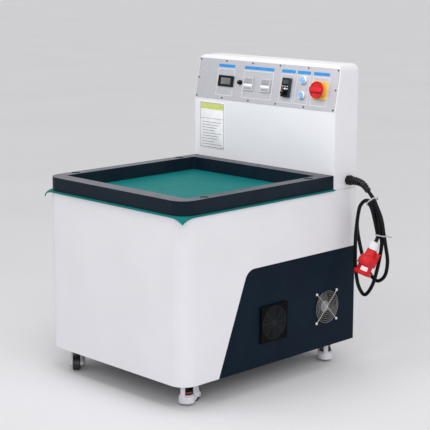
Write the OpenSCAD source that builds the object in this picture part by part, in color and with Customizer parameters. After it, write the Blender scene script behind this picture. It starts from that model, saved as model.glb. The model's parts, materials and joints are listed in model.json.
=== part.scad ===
// Floor-standing magnetic polishing machine on four levelling casters.
// Origin on the floor under the middle of the cabinet, front face toward -Y.

/* [Cabinet] */
// Width of the cabinet
cabinet_w = 704; // [660:1:800]
// Depth of the cabinet, front face to back face
cabinet_d = 840; // [800:1:960]
// Height of the top plate above the floor
cabinet_top = 642; // [600:1:760]
// Radius of the two front vertical corners
corner_r = 58; // [50:1:70]
// Thickness of the folded sheet covers
sheet_t = 2; // [1.5:0.1:2.5]
// Thickness of the non-magnetic top plate
top_plate_t = 4; // [3:0.5:8]
// Gap round a cover that is let into its neighbour
cover_gap = 0.5; // [0.3:0.1:1]

/* [Frame] */
// Side of the square frame tubes
tube_w = 40; // [36:1:44]
// Wall of the frame tubes
tube_wall = 2.5; // [2:0.1:4]
// Distance from the inside of the side covers to the frame
frame_inset = 10; // [8:0.5:12]
// Distance from the inside of the front cover to the frame
frame_front_inset = 26; // [22:1:34]
// Width of the two cross rails that carry the casters
caster_rail_w = 80; // [76:1:90]

/* [Riser] */
// Depth of the raised control box
riser_d = 120; // [110:1:150]
// Height of the top of the control box above the floor
riser_top = 1075; // [1040:1:1160]
// Height at which the front of the control box starts to lean back
crease_z = 915; // [880:1:920]
// Lean of the control face from upright, in degrees
slope_tilt = 11; // [6:0.5:14]
// Radius of the two long top edges of the control box
riser_round = 25; // [18:1:26]

/* [Side panels] */
// Height of the straight top edge of the side panels
side_panel_top = 427; // [390:1:440]
// Distance from the cabinet front to the lower front corner of a panel
side_panel_front = 161; // [140:1:190]
// How far the slanted front edge leans back over its height
side_panel_lean = 133; // [110:1:150]
// Radius of the upper front corner of a side panel
side_panel_r = 45; // [30:1:60]

/* [Trough] */
// Height of the trough frame
trough_h = 48; // [36:1:70]
// Width of the side beams of the trough frame
trough_side_w = 44; // [40:1:56]
// Width of the front beam of the trough frame
trough_front_w = 57; // [50:1:66]
// Width of the rear beam of the trough frame
trough_rear_w = 50; // [44:1:60]
// Distance of the trough frame from the cabinet edge
trough_inset = 2; // [1:0.5:6]
// Thickness of the rubber work mat
mat_t = 3; // [2:0.5:5]
// How far the mat reaches past the cabinet
mat_overhang = 8; // [4:1:12]
// Diameter of the caps over the trough bolts
cap_d = 30; // [24:1:34]
// Thickness of a cap
cap_t = 4; // [3:0.5:5]
// Depth of the top of a cap below the trough face
cap_sink = 2; // [1:0.5:3]
// Thickness of the trough frame's sheet
trough_wall = 2.5; // [2:0.1:4]

/* [Control face] */
// Width of the control panel plate
panel_w = 696; // [680:1:698]
// Height of the control panel plate along the slope
panel_h = 150; // [146:1:151]
// Thickness of the control panel plate
panel_t = 2; // [1.5:0.1:3]
// Diameter of a panel screw head
panel_screw_d = 6.5; // [5:0.5:8]
// Width of the display unit
display_w = 78; // [70:1:90]
// Height of the display unit
display_h = 41; // [36:1:50]
// How far the display stands off the panel
display_t = 5; // [3:0.5:8]
// Side of a digital timer
timer_side = 48; // [44:1:52]
// How far a timer stands off the panel
timer_t = 6; // [4:0.5:9]
// Diameter of the setting knob
speed_knob_d = 17; // [14:0.5:22]
// Height of the setting knob
speed_knob_h = 12; // [9:0.5:16]
// Width of the inverter keypad
keypad_w = 35; // [32:1:40]
// Height of the inverter keypad
keypad_h = 68; // [62:1:76]
// How far the inverter keypad stands off the panel
keypad_t = 13.5; // [10:0.5:18]
// Diameter of the inverter knob
keypad_knob_d = 15; // [12:0.5:17]
// Height of the inverter knob
keypad_knob_h = 13; // [9:0.5:16]
// Width of a coloured key
key_w = 8; // [6:0.5:9]
// Height of a coloured key
key_h = 6; // [4:0.5:7]
// Travel of a coloured key
key_travel = 0.8; // [0.5:0.1:1.2]
// Diameter of a push button bezel
bezel_d = 29; // [27:0.5:33]
// Diameter of a push button cap
button_d = 20; // [17:0.5:22]
// Travel of a push button
button_travel = 4; // [2:0.5:5]
// Side of the isolator plate across
isolator_w = 70; // [64:1:76]
// Height of the isolator plate
isolator_h = 64; // [62:1:70]
// Diameter of the isolator handle
handle_d = 60; // [50:1:61]
// Height of the isolator handle off its plate
handle_h = 26; // [20:1:32]
// Width of the gear plate inside the box
gear_plate_w = 420; // [360:5:440]
// Height of the gear plate inside the box
gear_plate_h = 220; // [212:1:230]

/* [Power cable] */
// Diameter of the power cable
cord_d = 13; // [13:0.5:13.5]
// Diameter of the cable gland
gland_d = 34; // [30:1:38]
// Length of the cable gland outside the cabinet
gland_l = 26; // [22:1:30]
// Distance from the cabinet back to the middle of the gland
gland_inset = 46; // [42:1:60]
// Height of the middle of the gland above the cabinet
gland_rise = 28; // [26:1:40]
// Diameter of the ribbed sleeve at the gland
sleeve_d = 30; // [28:0.5:32]
// Diameter of the ribbed sleeve at its free end
sleeve_end_d = 22; // [20:0.5:24]
// Length of the plug body
plug_l = 94; // [88:1:104]
// Diameter of the plug body's grip
plug_d = 65; // [60:1:68]
// Diameter of the plug's front collar
plug_collar_d = 64; // [60:1:68]

/* [Fan and filter] */
// Depth of the fan frame
fan_t = 38; // [36:0.5:42]
// Spacing of the fan screws
fan_bolt_pitch = 105; // [96:0.5:108]
// Distance from the fan screws to the edge of the fan frame
fan_edge = 7.5; // [6:0.5:9]
// Diameter of the fan rotor
fan_rotor_d = 108; // [100:1:110]
// Wire thickness of the fan guard
wire_d = 2.4; // [2:0.1:3]
// Side of the filter grille
grille_side = 128; // [122:1:134]
// Depth of the filter grille
grille_t = 8; // [6:0.5:11]
// Distance from the cabinet back to the middle of the fan
fan_inset = 151; // [140:1:160]
// Height of the middle of the fan above the cabinet's lower edge
fan_rise = 146.5; // [130:0.5:160]
// Distance between the middles of the fan and the grille
grille_spacing = 273; // [262:1:285]
// How far the grille sits below the fan
grille_drop = 3; // [0:0.5:6]

/* [Drive] */
// Diameter of the magnet disc
disc_d = 560; // [500:1:566]
// Thickness of the magnet disc
disc_t = 12; // [10:0.5:14]
// Diameter of a disc magnet
magnet_d = 40; // [34:1:44]
// Height of a disc magnet
magnet_t = 12; // [8:0.5:14]
// Diameter of the motor shaft
shaft_d = 24; // [20:0.5:28]
// Diameter of the motor body
motor_d = 176; // [150:1:190]
// Length of the motor under its flange
motor_l = 240; // [200:1:280]
// Diameter of the motor flange
motor_flange_d = 200; // [192:1:204]
// Thickness of the motor mounting plate
motor_plate_t = 8; // [6:0.5:12]
// Gap between the motor plate and the hub of the disc
hub_gap = 6; // [4:0.5:12]
// Gap between the magnets and the top plate
disc_gap = 8; // [4:0.5:12]

/* [Casters] */
// Height of a caster, which sets the cabinet's lower edge
caster_h = 82; // [80:0.5:90]
// Diameter of a caster wheel
wheel_d = 50; // [46:0.5:50]
// Width of a caster wheel
wheel_w = 24; // [20:0.5:26]
// Distance from the swivel axis to the wheel axle
caster_trail = 44; // [43:0.5:48]
// Side of the square caster plate
caster_plate_w = 73; // [70:1:78]
// Spacing of the caster bolts
caster_bolt_pitch = 58; // [52:1:60]
// Outer diameter of the caster cup
cup_d = 54; // [50:1:56]
// Diameter of the levelling foot
foot_d = 34; // [30:1:35]
// Travel of the levelling foot
foot_travel = 12; // [8:1:14]
// Diameter of the thumbwheel
thumbwheel_d = 42; // [38:1:43]
// Distance from the cabinet side to the swivel axes
caster_inset_x = 66; // [62:1:72]
// Distance from the cabinet front to the front swivel axes
caster_inset_front = 76; // [72:1:84]
// Distance from the cabinet back to the rear swivel axes
caster_inset_back = 75; // [70:1:84]

/* [Hidden] */
$fn = 64;

// Shared fits
overrun = 1;
run_gap = 0.05;
seat_gap = 0.25;
slide_gap = 0.3;

// Faces of the cabinet
half_w = cabinet_w / 2;
front_y = -cabinet_d / 2;
back_y = cabinet_d / 2;
base_z = caster_h;
shell_top = cabinet_top - top_plate_t;
inner_x = half_w - sheet_t;
inner_back_y = back_y - sheet_t;
side_flange = frame_inset;

// Faces of the control box
riser_y = back_y - riser_d;
slope_rise = riser_top - crease_z;
riser_top_y = riser_y + slope_rise * tan(slope_tilt);
cover_lip = 14;
gland_y = back_y - gland_inset;
gland_z = cabinet_top + gland_rise;
gland_thread_d = 24;
gland_nut_t = 6;
wire_slot_w = 300;
wire_slot_d = 60;

// Faces of the trough
mat_top = cabinet_top + mat_t;
trough_x = half_w - trough_inset;
trough_y0 = front_y + trough_inset;
trough_y1 = riser_y;
trough_top = mat_top + trough_h;
trough_inner_r = 4;
opening_y0 = trough_y0 + trough_front_w;
opening_y1 = trough_y1 - trough_rear_w;
cap_end_shares = [0.095, 0.092];
cap_front_y = opening_y0 + (opening_y1 - opening_y0) * cap_end_shares[0];
cap_back_y = opening_y1 - (opening_y1 - opening_y0) * cap_end_shares[1];
cap_gap = 0.2;

// Frame positions
frame_x = inner_x - frame_inset;
frame_y0 = front_y + frame_front_inset + sheet_t;
frame_y1 = inner_back_y;
upright_h = shell_top - tube_w - base_z - tube_w;
disc_z = shell_top - disc_gap - magnet_t - disc_t;
hub_t = 12;
motor_plate_z = disc_z - hub_t - hub_gap - motor_plate_t;
motor_rail_z = motor_plate_z - tube_w;
mid_rail_z = motor_rail_z - tube_w;
rail_gap = 10;

// Caster positions and the angle of each trail, seen from above
caster_x = half_w - caster_inset_x;
caster_front_y = front_y + caster_inset_front;
caster_back_y = back_y - caster_inset_back;
caster_angles = [-44, 105, 60, 136];
plate_t = 3;
swivel_gap = 0.3;
cap_ring_d = 60;
cap_ring_t = 10;
cup_wall = 3.5;
cup_z = 9;
cup_h = 23;
fork_t = 5.5;
fork_gap = 1.4;
boss_d = 20;
boss_t = 4.5;
axle_d = 8;
wheel_bore_d = axle_d + 2 * run_gap;
pillar_w = 16;
web_z = 37;
web_t = 4;
kingpin_d = 20;
kingpin_head_d = 27;
kingpin_head_t = 3;
stem_d = 10;
foot_z = 8;
foot_t = 5;
thumbwheel_t = 8;
grip_count = 16;
caster_bolt_d = 7;

// Magnet drive
drive_y = (opening_y0 + opening_y1) / 2;
hub_d = 110;
spigot_d = 130;
spigot_t = 3;
shaft_depth = 90;
motor_flange_t = 12;
motor_bolt_pitch = (motor_flange_d + spigot_d) / 2;
motor_bolt_d = 11;
cowl_l = 46;
cowl_extra = 4;
terminal_box = [90, 70, 110];
fin_t = 3;
fin_h = 7;
fin_count = 24;
magnet_counts = [16, 10, 5];
magnet_ring_shares = [0.43, 0.3, 0.165];

// Fan and filter positions
fan_y = back_y - fan_inset;
fan_z = base_z + fan_rise;
grille_y = fan_y - grille_spacing;
grille_z = fan_z - grille_drop;
blade_gap = 3;
fan_bore_d = fan_rotor_d + 2 * blade_gap;
fan_hub_d = 46;
fan_screw_d = 4;
fan_flange_t = 4;
fan_side = fan_bolt_pitch + 2 * fan_edge;
blade_count = 7;
blade_t = 2;
blade_depth = 22;
blade_pitch = 32;
fan_pin_d = 5;
fan_strut_w = 6;
guard_rings = 7;
guard_first_r = 13;
guard_stand = 4;
weld_share = 0.75;
eyelet_d = 11;

// Control face layout: shares of its width from the middle, and of its height from the crease
display_share = [-0.2787, 0.4633];
speed_knob_share = [-0.171, 0.4633];
timer_shares = [[-0.1085, 0.4487], [0.0151, 0.4447]];
keypad_share = [0.1674, 0.45];
upper_button_share = [0.2716, 0.66];
lower_button_share = [0.273, 0.3033];
isolator_share = [0.3886, 0.4627];
function panel_at(share) = [panel_w * share[0], panel_h * share[1]];
display_at = panel_at(display_share);
speed_knob_at = panel_at(speed_knob_share);
timer_at = [for (share = timer_shares) panel_at(share)];
keypad_at = panel_at(keypad_share);
upper_button_at = panel_at(upper_button_share);
lower_button_at = panel_at(lower_button_share);
isolator_at = panel_at(isolator_share);
// Key row and knob, as shares of the keypad from its middle
key_row_share = -0.066;
key_step_share = 0.3;
keypad_knob_share = [-0.043, -0.28];
keypad_knob_at = [keypad_at[0] + keypad_w * keypad_knob_share[0],
    keypad_at[1] + keypad_h * keypad_knob_share[1]];
screw_edge = 6;
panel_window_edge = 20;
screw_head_t = 2.2;
screw_shank_d = 4;
screw_l = 8;
bezel_t = 5;
button_rise = 8;
button_stem_d = 12;
button_stem_l = 16;
knob_stem_d = 6;
knob_stem_l = 8;
plate_rise = 3;
handle_stem_d = 10;
handle_stem_l = 18;
grip_w = 16;
key_rise = 0.8;
key_seat = 2;

// Control gear inside the box
gear_shares = [-0.057, 0.32];
gear_plate = [gear_plate_w, sheet_t, gear_plate_h];
gear_at = [cabinet_w * gear_shares[0],
    cabinet_top + (riser_top - cabinet_top) * gear_shares[1]];
standoff_l = 8;
standoff_d = 10;
drive_box = [140, 86, 180];
contactor_box = [45, 78, 76];
terminal_strip = [180, 40, 42];

// Cable route, from the free end of the sleeve to the plug
cord_route = [
    [446, 374, 642], [453, 374, 635], [460, 374, 628], [470, 375, 616], [488, 376, 585],
    [506, 376, 549], [519, 376, 493], [525, 379, 455], [529, 386, 402], [515, 392, 350],
    [483, 395, 323], [453, 396, 334], [426, 396, 371], [404, 396, 414], [383, 394, 502],
    [393, 391, 568], [408, 389, 593], [429, 388, 605], [452, 387, 600], [477, 382, 572],
    [494, 378, 532], [504, 376, 493], [503, 384, 465], [499, 384, 428], [488, 379, 362],
    [469, 377, 304], [438, 376, 268], [409, 375, 299], [396, 374, 362], [393, 374, 426],
    [395, 373, 485], [408, 371, 570], [422, 371, 596], [439, 371, 608], [455, 371, 599],
    [471, 372, 568], [490, 376, 494], [491, 372, 479], [489, 368, 468]];
cord_steps = 2;
cord_sides = 8;
sleeve_route = [
    [378, 374, 670], [385, 374, 670], [392, 374, 670], [417, 374, 665], [434, 374, 654],
    [440, 374, 648], [446, 374, 642]];
sleeve_steps = 6;
sleeve_sides = 16;
rib_depth = 2;
cord_path = smooth(cord_route, cord_steps);
plug_at = cord_route[len(cord_route) - 1];
plug_axis = tangent(cord_path, len(cord_path) - 1);
nut_l = 28;
nut_d = 38;
nut_entry_d = 18;
collar_l = 12;
shroud_d = 52;
shroud_l = 34;
shroud_wall = 3;
neck_share = 0.38;
shoulder_share = 0.32;
plug_key_w = 9;
plug_key_h = 3;
pin_d = 5;
pin_l = 24;
pin_ring_d = 32;
pin_count = 5;
tie_t = 1.4;
tie_w = 4.5;
tie_gap = 0.6;
lower_tie_at = [504.5, 376, 493];
lower_tie_half = 15;
upper_tie_at = [461, 378, 608];
upper_tie_d = 44;
upper_tie_tilt = 137;
tie_tail_l = 26;

// A ring of points about one point of a path
function unit(v) = v / norm(v);
function ring_at(centre, tangent, radius, sides) =
    let(side = unit(cross([0, 1, 0], tangent)), up = cross(tangent, side))
    [for (i = [0 : sides - 1])
        centre + radius * (cos(i * 360 / sides) * side + sin(i * 360 / sides) * up)];

// A smooth curve through the points of a route
function bend(p0, p1, p2, p3, t) =
    0.5 * (2 * p1 + (p2 - p0) * t + (2 * p0 - 5 * p1 + 4 * p2 - p3) * t * t
        + (3 * p1 - p0 - 3 * p2 + p3) * t * t * t);
function smooth(route, steps) =
    let(last = len(route) - 1)
    concat([for (i = [0 : last - 1], k = [0 : steps - 1])
        bend(route[max(i - 1, 0)], route[i], route[i + 1], route[min(i + 2, last)], k / steps)],
        [route[last]]);
function tangent(path, i) =
    unit(path[min(i + 1, len(path) - 1)] - path[max(i - 1, 0)]);

// A closed tube along a path, with one radius for each of its points
module swept_tube(path, radii, sides) {
    count = len(path);
    points = [for (i = [0 : count - 1]) each ring_at(path[i], tangent(path, i), radii[i], sides)];
    walls = [for (i = [0 : count - 2], k = [0 : sides - 1])
        [i * sides + k, i * sides + (k + 1) % sides,
            (i + 1) * sides + (k + 1) % sides, (i + 1) * sides + k]];
    first_end = [for (k = [sides - 1 : -1 : 0]) k];
    last_end = [for (k = [0 : sides - 1]) (count - 1) * sides + k];
    polyhedron(points, concat([first_end], walls, [last_end]), convexity = 8);
}

// Outline of the cabinet seen from above, square at the back
module cabinet_outline(inset) {
    x = half_w - inset;
    y0 = front_y + inset;
    r = corner_r - inset;
    translate([-x, y0 + r]) square([2 * x, back_y - y0 - r]);
    translate([-x + r, y0]) square([2 * (x - r), 2 * r]);
    for (s = [-1, 1]) translate([s * (x - r), y0 + r]) circle(r);
}

// Outline of a side panel: across is Y and up is Z
module side_outline(inset, rear_y = back_y) {
    y0 = front_y + side_panel_front;
    rise = side_panel_top - base_z;
    lean = atan(side_panel_lean / rise);
    r = side_panel_r - inset;
    arc_z = side_panel_top - side_panel_r;
    arc_y = y0 + (arc_z - base_z) * tan(lean) + side_panel_r / cos(lean);
    foot_y = y0 + inset / cos(lean) + inset * tan(lean);
    difference() {
        union() {
            polygon([[foot_y, base_z + inset], [arc_y - r * cos(lean), arc_z + r * sin(lean)],
                [arc_y, side_panel_top - inset], [rear_y - inset, side_panel_top - inset],
                [rear_y - inset, base_z + inset]]);
            translate([arc_y, arc_z]) circle(r);
        }
        translate([arc_y - corner_r, base_z - corner_r]) square([corner_r, corner_r]);
    }
}

// Stands a Y and Z outline up as a sheet whose near face is at x
module side_sheet(x, t) {
    translate([x, 0, 0]) rotate([90, 0, 90]) linear_extrude(t) children();
}

// Moves to the control face: X across, Y up the slope, Z off the face
module on_slope(at = [0, 0], off = 0) {
    translate([0, riser_y, crease_z]) rotate([90 - slope_tilt, 0, 0])
        translate([at[0], at[1], off]) children();
}

module block(size, at) {
    translate([at[0] - size[0] / 2, at[1] - size[1] / 2, at[2]]) cube(size);
}

module cabinet_shell() {
    color("white") difference() {
        translate([0, 0, base_z]) linear_extrude(shell_top - base_z) difference() {
            cabinet_outline(0);
            cabinet_outline(sheet_t);
            translate([-inner_x, back_y - corner_r]) square([2 * inner_x, 2 * corner_r]);
        }
        for (x = [-half_w - overrun, inner_x - overrun])
            side_sheet(x, sheet_t + 2 * overrun) side_outline(-cover_gap);
    }
}

// One side panel, at the right; hole centres are given as [y, z, diameter]
module side_panel(holes, bolts) {
    difference() {
        union() {
            side_sheet(inner_x, sheet_t) side_outline(0);
            side_sheet(inner_x - side_flange, side_flange + sheet_t) difference() {
                side_outline(0, inner_back_y - cover_gap);
                side_outline(sheet_t, inner_back_y - cover_gap);
            }
        }
        for (h = holes) translate([inner_x - overrun, h[0], h[1]]) rotate([0, 90, 0])
            cylinder(h = sheet_t + 2 * overrun, d = h[2]);
        for (b = bolts) fan_screw_places(b) translate([inner_x - overrun, 0, 0])
            rotate([0, 90, 0]) cylinder(h = sheet_t + 2 * overrun, d = fan_screw_d + 2 * run_gap);
    }
}

module fan_screw_places(at) {
    for (a = [-1, 1], b = [-1, 1])
        translate([0, at[0] + a * fan_bolt_pitch / 2, at[1] + b * fan_bolt_pitch / 2]) children();
}

module right_side_panel() {
    color("midnightblue")
        side_panel([[fan_y, fan_z, fan_bore_d], [grille_y, grille_z, fan_bore_d]],
            [[fan_y, fan_z]]);
}

module left_side_panel() {
    color("midnightblue") mirror([1, 0, 0]) side_panel([], []);
}

module rear_panel() {
    w = 2 * (inner_x - cover_gap);
    color("gainsboro") translate([-w / 2, inner_back_y, base_z])
        cube([w, sheet_t, shell_top - base_z]);
}

// A square tube along X, Y or Z, from its low corner
module tube(axis, at, length, w = tube_w, h = tube_w) {
    translate(at) difference() {
        if (axis == 0) cube([length, w, h]);
        if (axis == 1) cube([w, length, h]);
        if (axis == 2) cube([w, h, length]);
        if (axis == 0) translate([-overrun, tube_wall, tube_wall])
            cube([length + 2 * overrun, w - 2 * tube_wall, h - 2 * tube_wall]);
        if (axis == 1) translate([tube_wall, -overrun, tube_wall])
            cube([w - 2 * tube_wall, length + 2 * overrun, h - 2 * tube_wall]);
        if (axis == 2) translate([tube_wall, tube_wall, -overrun])
            cube([w - 2 * tube_wall, h - 2 * tube_wall, length + 2 * overrun]);
    }
}

module base_frame() {
    length = frame_y1 - frame_y0;
    span = 2 * (frame_x - tube_w);
    upright_z = base_z + tube_w;
    top_z = shell_top - tube_w;
    motor_half = motor_flange_d / 2 + rail_gap / 2;
    color("dimgray") {
        for (x = [-frame_x, frame_x - tube_w]) {
            tube(1, [x, frame_y0, base_z], length);
            tube(1, [x, frame_y0, top_z], length);
            tube(1, [x, frame_y0 + tube_w, mid_rail_z], length - 2 * tube_w);
            for (y = [frame_y0, frame_y1 - tube_w]) tube(2, [x, y, upright_z], upright_h);
        }
        for (y = [caster_front_y, caster_back_y])
            tube(0, [-span / 2, y - caster_rail_w / 2, base_z], span, caster_rail_w);
        for (y = [frame_y0, riser_y - tube_w, frame_y1 - tube_w])
            tube(0, [-span / 2, y, top_z], span);
        for (y = [drive_y - motor_half - tube_w, drive_y + motor_half])
            tube(0, [-frame_x, y, motor_rail_z], 2 * frame_x);
    }
}

module top_plate() {
    color("white") translate([0, 0, shell_top]) linear_extrude(top_plate_t) difference() {
        cabinet_outline(0);
        translate([-wire_slot_w / 2, back_y - riser_d / 2 - wire_slot_d / 2])
            square([wire_slot_w, wire_slot_d]);
    }
}

module work_mat() {
    color("teal") translate([-half_w - mat_overhang, front_y - mat_overhang, cabinet_top])
        cube([cabinet_w + 2 * mat_overhang, riser_y - front_y + mat_overhang - slide_gap, mat_t]);
}

module trough_outline(inset = 0) {
    x = trough_x - inset;
    y0 = trough_y0 + inset;
    y1 = trough_y1 - inset;
    r = corner_r - trough_inset - inset;
    translate([-x, y0 + r]) square([2 * x, y1 - y0 - r]);
    translate([-x + r, y0]) square([2 * (x - r), 2 * r]);
    for (s = [-1, 1]) translate([s * (x - r), y0 + r]) circle(r);
}

module trough_opening(wall = 0) {
    x = trough_x - trough_side_w + wall;
    y0 = opening_y0 - wall;
    y1 = opening_y1 + wall;
    r = trough_inner_r + wall;
    translate([-x + r, y0]) square([2 * (x - r), y1 - y0]);
    translate([-x, y0 + r]) square([2 * x, y1 - y0 - 2 * r]);
    for (s = [-1, 1], y = [y0 + r, y1 - r]) translate([s * (x - r), y]) circle(r);
}

module cap_places(z) {
    for (s = [-1, 1], y = [cap_front_y, cap_back_y])
        translate([s * (trough_x - trough_side_w / 2), y, z]) children();
}

// A channel that is open underneath, with a boss under each cap
module trough_frame() {
    depth = cap_t + cap_sink;
    color("midnightblue") difference() {
        union() {
            translate([0, 0, mat_top]) difference() {
                linear_extrude(trough_h) difference() {
                    trough_outline();
                    trough_opening();
                }
                translate([0, 0, -overrun]) linear_extrude(trough_h - trough_wall + overrun)
                    difference() {
                        trough_outline(trough_wall);
                        trough_opening(trough_wall);
                    }
            }
            cap_places(mat_top)
                cylinder(h = trough_h - trough_wall / 2, d = cap_d + 2 * trough_wall);
        }
        cap_places(trough_top - depth) cylinder(h = depth + overrun, d = cap_d + 2 * cap_gap);
    }
}

module trough_caps() {
    color("black") cap_places(trough_top - cap_sink - cap_t) cylinder(h = cap_t, d = cap_d);
}

// Side profile of the control box, and its front silhouette, each inset evenly
module riser_profile(inset) {
    lean = inset / cos(slope_tilt);
    top = riser_top - inset;
    crease_y = riser_y + inset;
    crease_up = crease_z + (crease_y - riser_y - lean) / tan(slope_tilt);
    polygon([[crease_y, cabinet_top], [crease_y, crease_up],
        [riser_y + lean + (top - crease_z) * tan(slope_tilt), top], [back_y, top],
        [back_y, cabinet_top]]);
}

module riser_silhouette(inset) {
    x = half_w - inset;
    r = riser_round - inset;
    top = riser_top - inset;
    translate([-x, cabinet_top]) square([2 * x, top - r - cabinet_top]);
    translate([-x + r, cabinet_top]) square([2 * (x - r), top - cabinet_top]);
    for (s = [-1, 1]) translate([s * (x - r), top - r]) circle(r);
}

module riser_body(inset) {
    intersection() {
        translate([-half_w, 0, 0]) rotate([90, 0, 90]) linear_extrude(cabinet_w)
            riser_profile(inset);
        translate([0, back_y + overrun, 0]) rotate([90, 0, 0])
            linear_extrude(riser_d + 2 * overrun) riser_silhouette(inset);
    }
}

module riser_shell() {
    window_w = panel_w - 2 * panel_window_edge;
    window_h = panel_h - 2 * panel_window_edge;
    lip_x = half_w - sheet_t - cover_lip;
    color("white") difference() {
        riser_body(0);
        difference() {
            riser_body(sheet_t);
            translate([-half_w, inner_back_y - sheet_t, cabinet_top]) difference() {
                cube([cabinet_w, sheet_t, riser_top - cabinet_top]);
                translate([half_w - lip_x, -overrun, cover_lip]) cube([2 * lip_x,
                    sheet_t + 2 * overrun, riser_top - cabinet_top - 2 * cover_lip - sheet_t]);
            }
        }
        translate([-inner_x, riser_y + sheet_t, cabinet_top - overrun])
            cube([2 * inner_x, riser_d - 3 * sheet_t, 2 * overrun]);
        on_slope([-window_w / 2, panel_window_edge], -sheet_t * 2)
            cube([window_w, window_h, 4 * sheet_t]);
        translate([half_w - 2 * sheet_t, gland_y, gland_z]) rotate([0, 90, 0])
            cylinder(h = 3 * sheet_t, d = gland_thread_d + 2 * run_gap);
    }
}

module riser_cover() {
    color("gainsboro") intersection() {
        translate([0, back_y, 0]) rotate([90, 0, 0]) linear_extrude(sheet_t)
            riser_silhouette(sheet_t + cover_gap);
        translate([-half_w, 0, cabinet_top + cover_gap])
            cube([cabinet_w, back_y + overrun, riser_top]);
    }
}

module screw_places() {
    step = (panel_w - 2 * screw_edge) / 5;
    for (i = [0 : 5], t = [screw_edge, panel_h - screw_edge])
        on_slope([-panel_w / 2 + screw_edge + i * step, t]) children();
    for (s = [-1, 1]) on_slope([s * (panel_w / 2 - screw_edge), panel_h / 2]) children();
}

module control_panel() {
    color("lightgray") difference() {
        on_slope([-panel_w / 2, 0]) cube([panel_w, panel_h, panel_t]);
        screw_places() translate([0, 0, -overrun])
            cylinder(h = panel_t + 2 * overrun, d = screw_shank_d + 2 * run_gap);
        for (a = [upper_button_at, lower_button_at]) on_slope(a, -overrun)
            cylinder(h = panel_t + 2 * overrun, d = button_stem_d + 2 * slide_gap);
        on_slope(isolator_at, -overrun)
            cylinder(h = panel_t + 2 * overrun, d = handle_stem_d + 2 * slide_gap);
        on_slope(speed_knob_at, -overrun)
            cylinder(h = panel_t + 2 * overrun, d = knob_stem_d + 2 * run_gap);
    }
}

module panel_screws() {
    color("black") screw_places() {
        translate([0, 0, panel_t]) cylinder(h = screw_head_t, d = panel_screw_d);
        cylinder(h = panel_t, d = screw_shank_d);
    }
}

module display_unit() {
    screen_shares = [0.66, 0.6];
    sink = display_t / 4;
    screen = [display_w * screen_shares[0], display_h * screen_shares[1], sink + overrun];
    color("black") difference() {
        on_slope(display_at, panel_t) block([display_w, display_h, display_t], [0, 0, 0]);
        on_slope(display_at, panel_t + display_t - sink) block(screen, [0, 0, 0]);
    }
}

module speed_knob() {
    color("black") on_slope(speed_knob_at, panel_t + slide_gap) difference() {
        union() {
            cylinder(h = speed_knob_h, d1 = speed_knob_d, d2 = speed_knob_d * 0.86);
            translate([0, 0, -knob_stem_l]) cylinder(h = knob_stem_l, d = knob_stem_d);
        }
        pointer_cut(speed_knob_d, speed_knob_h);
    }
}

// A groove in the face of a knob, from near its centre to its rim
module pointer_cut(d, h) {
    groove = d / 12;
    translate([-groove / 2, d / 8, h - groove]) cube([groove, d / 2, groove + overrun]);
}

module timers() {
    sink = timer_t / 4;
    edge = timer_side / 12;
    window = timer_side * 0.4;
    strip = timer_side * 0.2;
    color("gray") for (a = timer_at) on_slope(a, panel_t) difference() {
        block([timer_side, timer_side, timer_t], [0, 0, 0]);
        translate([0, timer_side / 2 - edge - window / 2, timer_t - sink])
            block([timer_side - 2 * edge, window, sink + overrun], [0, 0, 0]);
        translate([0, -timer_side / 2 + edge + strip / 2, timer_t - sink / 2])
            block([timer_side - 2 * edge, strip, sink + overrun], [0, 0, 0]);
    }
}

// Places of the three keys on the keypad: index -1, 0 or 1 across
function key_at(i) =
    [keypad_at[0] + i * keypad_w * key_step_share, keypad_at[1] + keypad_h * key_row_share];

module inverter_keypad() {
    sink = keypad_t / 9;
    edge = keypad_w / 12;
    window_h = keypad_h * 0.3;
    key_depth = key_seat + key_travel + slide_gap;
    color("dimgray") difference() {
        on_slope(keypad_at, panel_t) block([keypad_w, keypad_h, keypad_t], [0, 0, 0]);
        on_slope(keypad_at, panel_t + keypad_t - sink)
            block([keypad_w - 2 * edge, window_h, sink + overrun],
                [0, keypad_h / 2 - edge - window_h / 2, 0]);
        for (i = [-1 : 1]) on_slope(key_at(i), panel_t + keypad_t - key_depth)
            block([key_w + 2 * slide_gap, key_h + 2 * slide_gap, key_depth + overrun], [0, 0, 0]);
        on_slope(keypad_knob_at, panel_t + keypad_t - knob_stem_l - slide_gap)
            cylinder(h = knob_stem_l + slide_gap + overrun, d = knob_stem_d + 2 * run_gap);
    }
}

module keypad_key(i) {
    on_slope(key_at(i), panel_t + keypad_t - key_seat)
        block([key_w, key_h, key_seat + key_rise], [0, 0, 0]);
}

module inverter_knob() {
    color("black") on_slope(keypad_knob_at, panel_t + keypad_t + slide_gap) difference() {
        union() {
            cylinder(h = keypad_knob_h, d1 = keypad_knob_d, d2 = keypad_knob_d * 0.9);
            translate([0, 0, -knob_stem_l]) cylinder(h = knob_stem_l, d = knob_stem_d);
        }
        pointer_cut(keypad_knob_d, keypad_knob_h);
    }
}

module button_bezels() {
    color("silver") for (a = [upper_button_at, lower_button_at]) on_slope(a, panel_t)
        difference() {
            cylinder(h = bezel_t, d1 = bezel_d, d2 = bezel_d - bezel_t / 2);
            translate([0, 0, -overrun])
                cylinder(h = bezel_t + 2 * overrun, d = button_d + 2 * slide_gap);
        }
}

module button_cap(at) {
    color("steelblue") on_slope(at, panel_t) {
        translate([0, 0, button_travel + slide_gap])
            cylinder(h = bezel_t + button_rise - button_travel - slide_gap, d = button_d);
        translate([0, 0, -button_stem_l])
            cylinder(h = button_stem_l + bezel_t + overrun, d = button_stem_d);
    }
}

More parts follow.
